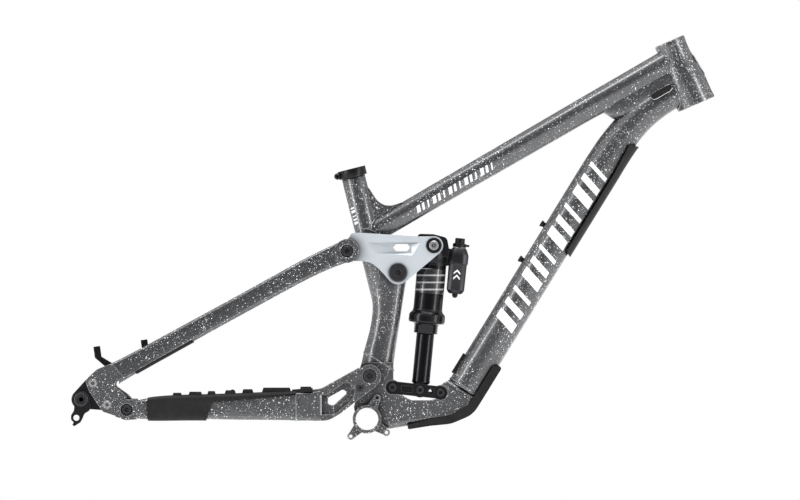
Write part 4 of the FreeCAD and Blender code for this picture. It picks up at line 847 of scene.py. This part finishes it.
def softbox(name, place, target, size, power):
    """A white rectangular light that faces its target."""
    data = bpy.data.lights.new(name, "AREA")
    data.shape = "RECTANGLE"
    data.size, data.size_y = size
    data.energy = power
    obj = bpy.data.objects.new(name, data)
    obj.location = place
    obj.rotation_euler = (Vector(target) - Vector(place)).to_track_quat("-Z", "Y").to_euler()
    bpy.context.scene.collection.objects.link(obj)


def studio():
    """Bright above, below and at the ends of the frame, dark to its two sides; pure white to the camera."""
    world = bpy.data.worlds.new("studio")
    world.use_nodes = True
    tree = world.node_tree
    light = tree.nodes["Background"]

    def node(kind, **values):
        made = tree.nodes.new(kind)
        for key, value in values.items():
            setattr(made, key, value)
        return made

    split = node("ShaderNodeSeparateXYZ")
    tree.links.new(node("ShaderNodeTexCoord").outputs["Generated"], split.inputs[0])
    sideways = node("ShaderNodeMath", operation="ABSOLUTE")
    tree.links.new(split.outputs["Y"], sideways.inputs[0])
    level = node("ShaderNodeMapRange", interpolation_type="SMOOTHSTEP")
    tree.links.new(sideways.outputs[0], level.inputs["Value"])
    for key, value in (("From Min", 0.45), ("From Max", 0.95), ("To Min", 1.05), ("To Max", 0.10)):
        level.inputs[key].default_value = value
    tree.links.new(level.outputs["Result"], light.inputs["Strength"])
    light.inputs["Color"].default_value = (1.0, 1.0, 1.0, 1.0)
    seen = node("ShaderNodeBackground")
    seen.inputs["Color"].default_value = (1.0, 1.0, 1.0, 1.0)
    choice = node("ShaderNodeMixShader")
    tree.links.new(node("ShaderNodeLightPath").outputs["Is Camera Ray"], choice.inputs[0])
    tree.links.new(light.outputs[0], choice.inputs[1])
    tree.links.new(seen.outputs[0], choice.inputs[2])
    tree.links.new(choice.outputs[0], tree.nodes["World Output"].inputs["Surface"])
    bpy.context.scene.world = world
    middle = (0.05, 0.0, 0.26)
    softbox("top_light", (0.1, -0.3, 2.6), middle, (2.6, 1.0), 60)
    softbox("left_strip", (-2.6, -1.6, 0.9), middle, (0.5, 2.4), 40)
    softbox("right_strip", (2.6, -1.6, 0.7), middle, (0.5, 2.4), 40)


def floor():
    """A white floor well below the frame, part of the stage only."""
    half, below = 9.0, 0.22
    g = Graph("floor_white")
    g.link(g.mix(g.noise(3.0, 2.0), (0.93, 0.93, 0.93), (0.95, 0.95, 0.95)), g.shader.inputs["Base Color"])
    g.set(Roughness=0.8, Specular_IOR_Level=0.2)
    g.set(Emission_Color=(1.0, 1.0, 1.0, 1.0), Emission_Strength=0.35)
    mesh = bpy.data.meshes.new("floor")
    low = CAD_BOX[0][2] - below
    mesh.from_pydata([(x, y, low) for x, y in ((-half, -half), (half, -half), (half, half), (-half, half))],
                     [], [(0, 1, 2, 3)])
    obj = bpy.data.objects.new("floor", mesh)
    obj.data.materials.append(g.material)
    bpy.context.scene.collection.objects.link(obj)


def main():
    bpy.context.scene.view_settings.view_transform = "Standard"
    dress_cad_nodes()
    head, top, deep, down, mast = front_triangle()
    welds(head, mast)
    graphics(top, down)
    for side, way in (("right", 1), ("left", -1)):
        port_rim(side, way, [top, deep, down])
    lug_bosses()
    head_badge()
    shock_trim()
    reservoir_mark(reservoir_panel())
    camera()
    studio()
    floor()


main()
